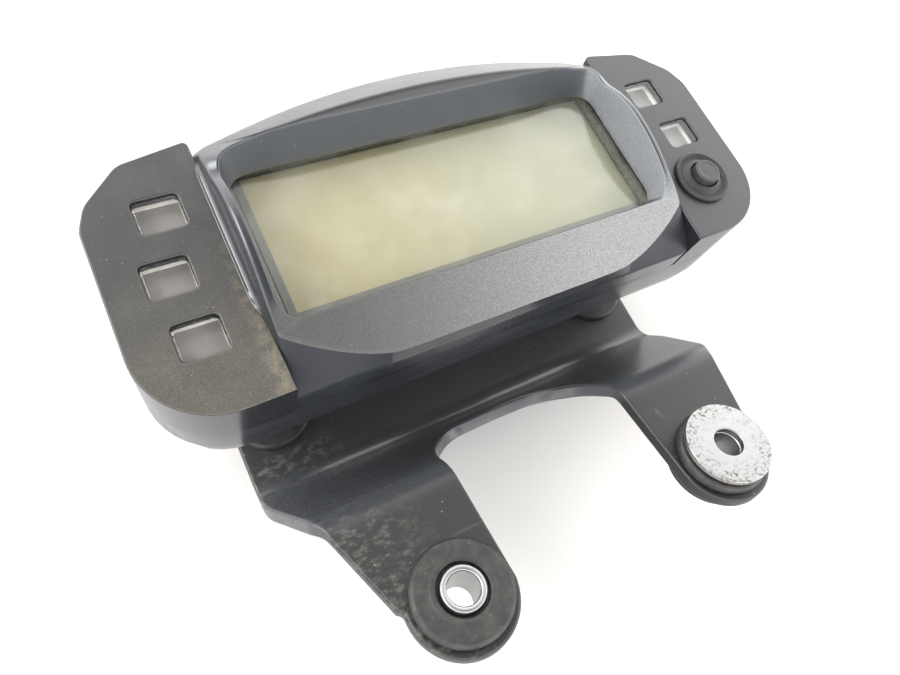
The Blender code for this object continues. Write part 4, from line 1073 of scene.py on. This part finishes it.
def make_plate_mounts(black, bright, dull):
    top = GAP + FLANGE
    low = -SHEET - GAP - FLANGE
    for name, x, y in DAMPERS:
        at = (x, y, PLATE_Z)
        spool = grommet(f"mount_rubber_{name}", PLATE_FLANGE_RADIUS, 0.3)
        show(lay(spool, at), [black], "rubber", f"damper_{name}")
        sleeve = tube(f"mount_sleeve_{name}", SLEEVE_RADIUS, SLEEVE_BORE, low, top + GAP, 0.3)
        show(lay(sleeve, at), [bright], "zinc_plated_steel", f"damper_sleeve_{name}")
        below = low - GAP - WASHER_THICKNESS
        washer = tube(f"mount_washer_{name}", WASHER_RADIUS, SLEEVE_BORE, below, low - GAP, 0.25)
        show(lay(washer, at), [bright], "zinc_plated_steel", f"damper_washer_{name}")
        screw = copy_of(f"damper_screw_{name}", 0.25)
        show(screw, [dull], "steel", f"damper_screw_{name}")


def make_arm_mounts(black, bright, rusty):
    top = GAP + FLANGE
    low = -SHEET - 2 * GAP - FLANGE
    collar_top = top + COLLAR_RISE
    for name, side in (("left", -1), ("right", 1)):
        at = (side * ARM_X, ARM_Y, arm_z())
        spool = grommet(f"arm_rubber_{name}", ARM_FLANGE_RADIUS, 0.6)
        show(lay(spool, at, -ARM_TILT), [black], "rubber", f"arm_grommet_{name}")
        flange = low - COLLAR_FLANGE
        outline = profile_of(
            [(SLEEVE_BORE, -2.0), (SLEEVE_BORE, collar_top), (SLEEVE_RADIUS, collar_top),
             (SLEEVE_RADIUS, low), (COLLAR_FLANGE_RADIUS, low), (COLLAR_FLANGE_RADIUS, flange),
             (SLEEVE_BORE, flange), (SLEEVE_BORE, -2.0)],
            [0.0, 0.55, 0.5, 0.1, 0.3, 0.3, 0.4, 0.0],
        )
        collar = turned(f"arm_spacer_{name}", outline[:-1])
        show(lay(collar, at, -ARM_TILT), [bright], "zinc_plated_steel", f"arm_collar_{name}")
    outer, inner, thickness = LOOSE_WASHER
    washer = tube("arm_plain_washer", outer, inner, collar_top + GAP, collar_top + GAP + thickness, 0.3)
    show(lay(washer, at, -ARM_TILT), [rusty], "zinc_plated_steel", "arm_washer_right")


# -------- stage, light and camera

def make_floor():
    """White paper, painted grey near the object: a painted darkening round it, so that its shadow shows."""
    bm = bmesh.new()
    bmesh.ops.create_grid(bm, x_segments=2, y_segments=2, size=3.0)
    floor = piece_from(bm, "studio_floor")
    floor.location = (0.0, 0.0, 0.0)
    s = Surface("studio_paper")
    squared = s.calc(s.times(s.x, s.x), s.times(s.y, s.y))
    far = s.ramp(squared, PAPER_FADE[0] ** 2, PAPER_FADE[1] ** 2)
    # painted shadow: the paper is painted grey near the object, darkening the floor round it
    near = s.mix(s.noise(60.0, 2.0), (0.44, 0.43, 0.42), (0.46, 0.45, 0.44))
    colour = s.mix(far, near, (0.90, 0.90, 0.90))
    floor.data.materials.append(s.done(colour, 0.9))


def make_light():
    """White room without lamps: dim overhead, brighter the lower the direction, with one window."""
    world = bpy.data.worlds.new("studio")
    bpy.context.scene.world = world
    world.use_nodes = True
    tree = world.node_tree
    direction = tree.nodes.new("ShaderNodeTexCoord").outputs["Generated"]
    split = tree.nodes.new("ShaderNodeSeparateXYZ")
    tree.links.new(direction, split.inputs[0])
    levels = tree.nodes.new("ShaderNodeValToRGB")
    tree.links.new(split.outputs["Z"], levels.inputs[0])
    stops = levels.color_ramp.elements
    while len(stops) < len(ROOM_LEVELS):
        stops.new(0.5)
    for stop, (height, level) in zip(stops, ROOM_LEVELS):
        stop.position = height
        stop.color = (level / ROOM_PEAK,) * 3 + (1.0,)
    toward = tree.nodes.new("ShaderNodeVectorMath")
    toward.operation = "DOT_PRODUCT"
    tree.links.new(direction, toward.inputs[0])
    toward.inputs[1].default_value = Vector(WINDOW_TOWARD).normalized()
    window = tree.nodes.new("ShaderNodeMapRange")
    window.interpolation_type = "SMOOTHSTEP"
    tree.links.new(toward.outputs["Value"], window.inputs[0])
    for socket, number in zip(window.inputs[1:], (*WINDOW_EDGE, 0.0, 1.0)):
        socket.default_value = number
    blend = tree.nodes.new("ShaderNodeMix")
    blend.data_type = "RGBA"
    tree.links.new(window.outputs[0], blend.inputs["Factor"])
    tree.links.new(levels.outputs[0], blend.inputs[6])
    blend.inputs[7].default_value = (WINDOW_LEVEL / ROOM_PEAK,) * 3 + (1.0,)
    background = tree.nodes["Background"]
    tree.links.new(blend.outputs[2], background.inputs[0])
    background.inputs[1].default_value = ROOM_PEAK


def make_camera():
    """Camera over the left front corner, looking down at the display."""
    lens = bpy.data.cameras.new("camera")
    lens.sensor_width = SENSOR_WIDTH
    lens.lens = FOCAL_LENGTH
    lens.clip_start = 0.01
    holder = bpy.data.objects.new("camera", lens)
    right = Vector(CAMERA_RIGHT).normalized()
    forward = Vector(CAMERA_FORWARD)
    forward = (forward - right * forward.dot(right)).normalized()
    up = right.cross(forward)
    turn = Matrix((right, up, -forward)).transposed()
    place = DATUM + Vector(CAMERA_PLACE) * MM
    holder.matrix_world = Matrix.Translation(place) @ turn.to_4x4()
    bpy.context.scene.collection.objects.link(holder)
    bpy.context.scene.camera = holder


# -------- build

bpy.context.scene.view_settings.view_transform = "Standard"
make_camera()
make_floor()
make_light()

wing = wing_plastic()
outside = smooth_plastic()
black_rubber = rubber("mount_rubber", 0.35)
bright_zinc = zinc("bright_zinc", (3.6, 5.2), 0.25)
screw_metal = steel()

make_front_case([wing, outside, grained_plastic(), inner_plastic(), facet_plastic()])
make_telltales(glass("window_clear", (0.97, 0.96, 0.95), 0.04, 1.42), pad_edge_highlight(), smoked_print())
make_button(rubber("boot_rubber", 0.15), rubber("cap_rubber", 0.3, 0.52))
make_display(glass("display_clear", (0.96, 0.96, 0.93), 0.06, 1.7), liquid_crystal())
make_bracket([bracket_plastic("bracket_nylon", 0.0), bracket_plastic("bracket_nylon_edge", 0.8)])
make_plate_mounts(black_rubber, bright_zinc, screw_metal)
make_arm_mounts(rubber("arm_rubber", 0.55), bright_zinc, zinc("rusty_zinc", (4.0, 9.0), 0.55))

rear = copy_of("rear_case", 0.6, 3)
show(rear, [outside], "black_plastic", "rear_case")
socket = copy_of("connector_socket", 0.3, 2)
show(socket, [plain("socket_nylon", (0.020, 0.020, 0.021), (0.035, 0.035, 0.036), 0.42)], "chip_black",
     "connector_socket")

INNER_FINISHES = {
    "lcd_holder": plain("holder_plastic", (0.035, 0.036, 0.026), (0.11, 0.108, 0.08), 0.35, 0.7),
    "light_guide": plain("guide_acrylic", (0.82, 0.84, 0.82), (0.90, 0.91, 0.90), 0.25, 6.0),
    "elastomer_strip": plain("strip_rubber", (0.06, 0.06, 0.06), (0.30, 0.28, 0.26), 0.6, 0.4),
    "circuit_board": board_lacquer(),
    "microcontroller": plain("chip_epoxy", (0.018, 0.018, 0.019), (0.034, 0.034, 0.035), 0.5, 0.4),
    "quartz_crystal": plain("crystal_can", (0.60, 0.61, 0.62), (0.72, 0.73, 0.74), 0.28, 2.0, 1.0),
    "capacitor": plain("capacitor_can", (0.66, 0.67, 0.68), (0.80, 0.80, 0.81), 0.25, 2.0, 1.0),
    "backlight_led": plain("lamp_body", (0.78, 0.77, 0.70), (0.88, 0.86, 0.78), 0.35, 0.8),
    "telltale_led": plain("telltale_body", (0.76, 0.76, 0.74), (0.86, 0.86, 0.84), 0.35, 0.8),
    "light_baffle": plain("baffle_plastic", (0.66, 0.66, 0.64), (0.76, 0.76, 0.74), 0.5, 1.5),
    "switch_body": plain("switch_nylon", (0.020, 0.020, 0.020), (0.040, 0.040, 0.041), 0.42, 0.6),
    "switch_plunger": plain("plunger_nylon", (0.68, 0.68, 0.64), (0.78, 0.78, 0.75), 0.4, 0.8),
    "case_seal": rubber("seal_rubber", 0.1),
    "connector_pins": plain("pin_brass", (0.55, 0.44, 0.20), (0.70, 0.58, 0.30), 0.3, 1.0, 1.0),
    "case_screw": screw_metal,
}
for node_name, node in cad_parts.items():
    for start, finish in INNER_FINISHES.items():
        if node_name.startswith(start):
            node.data.materials.clear()
            node.data.materials.append(finish)
            node.data.shade_smooth()
            node.data.set_sharp_from_angle(angle=math.radians(35.0))
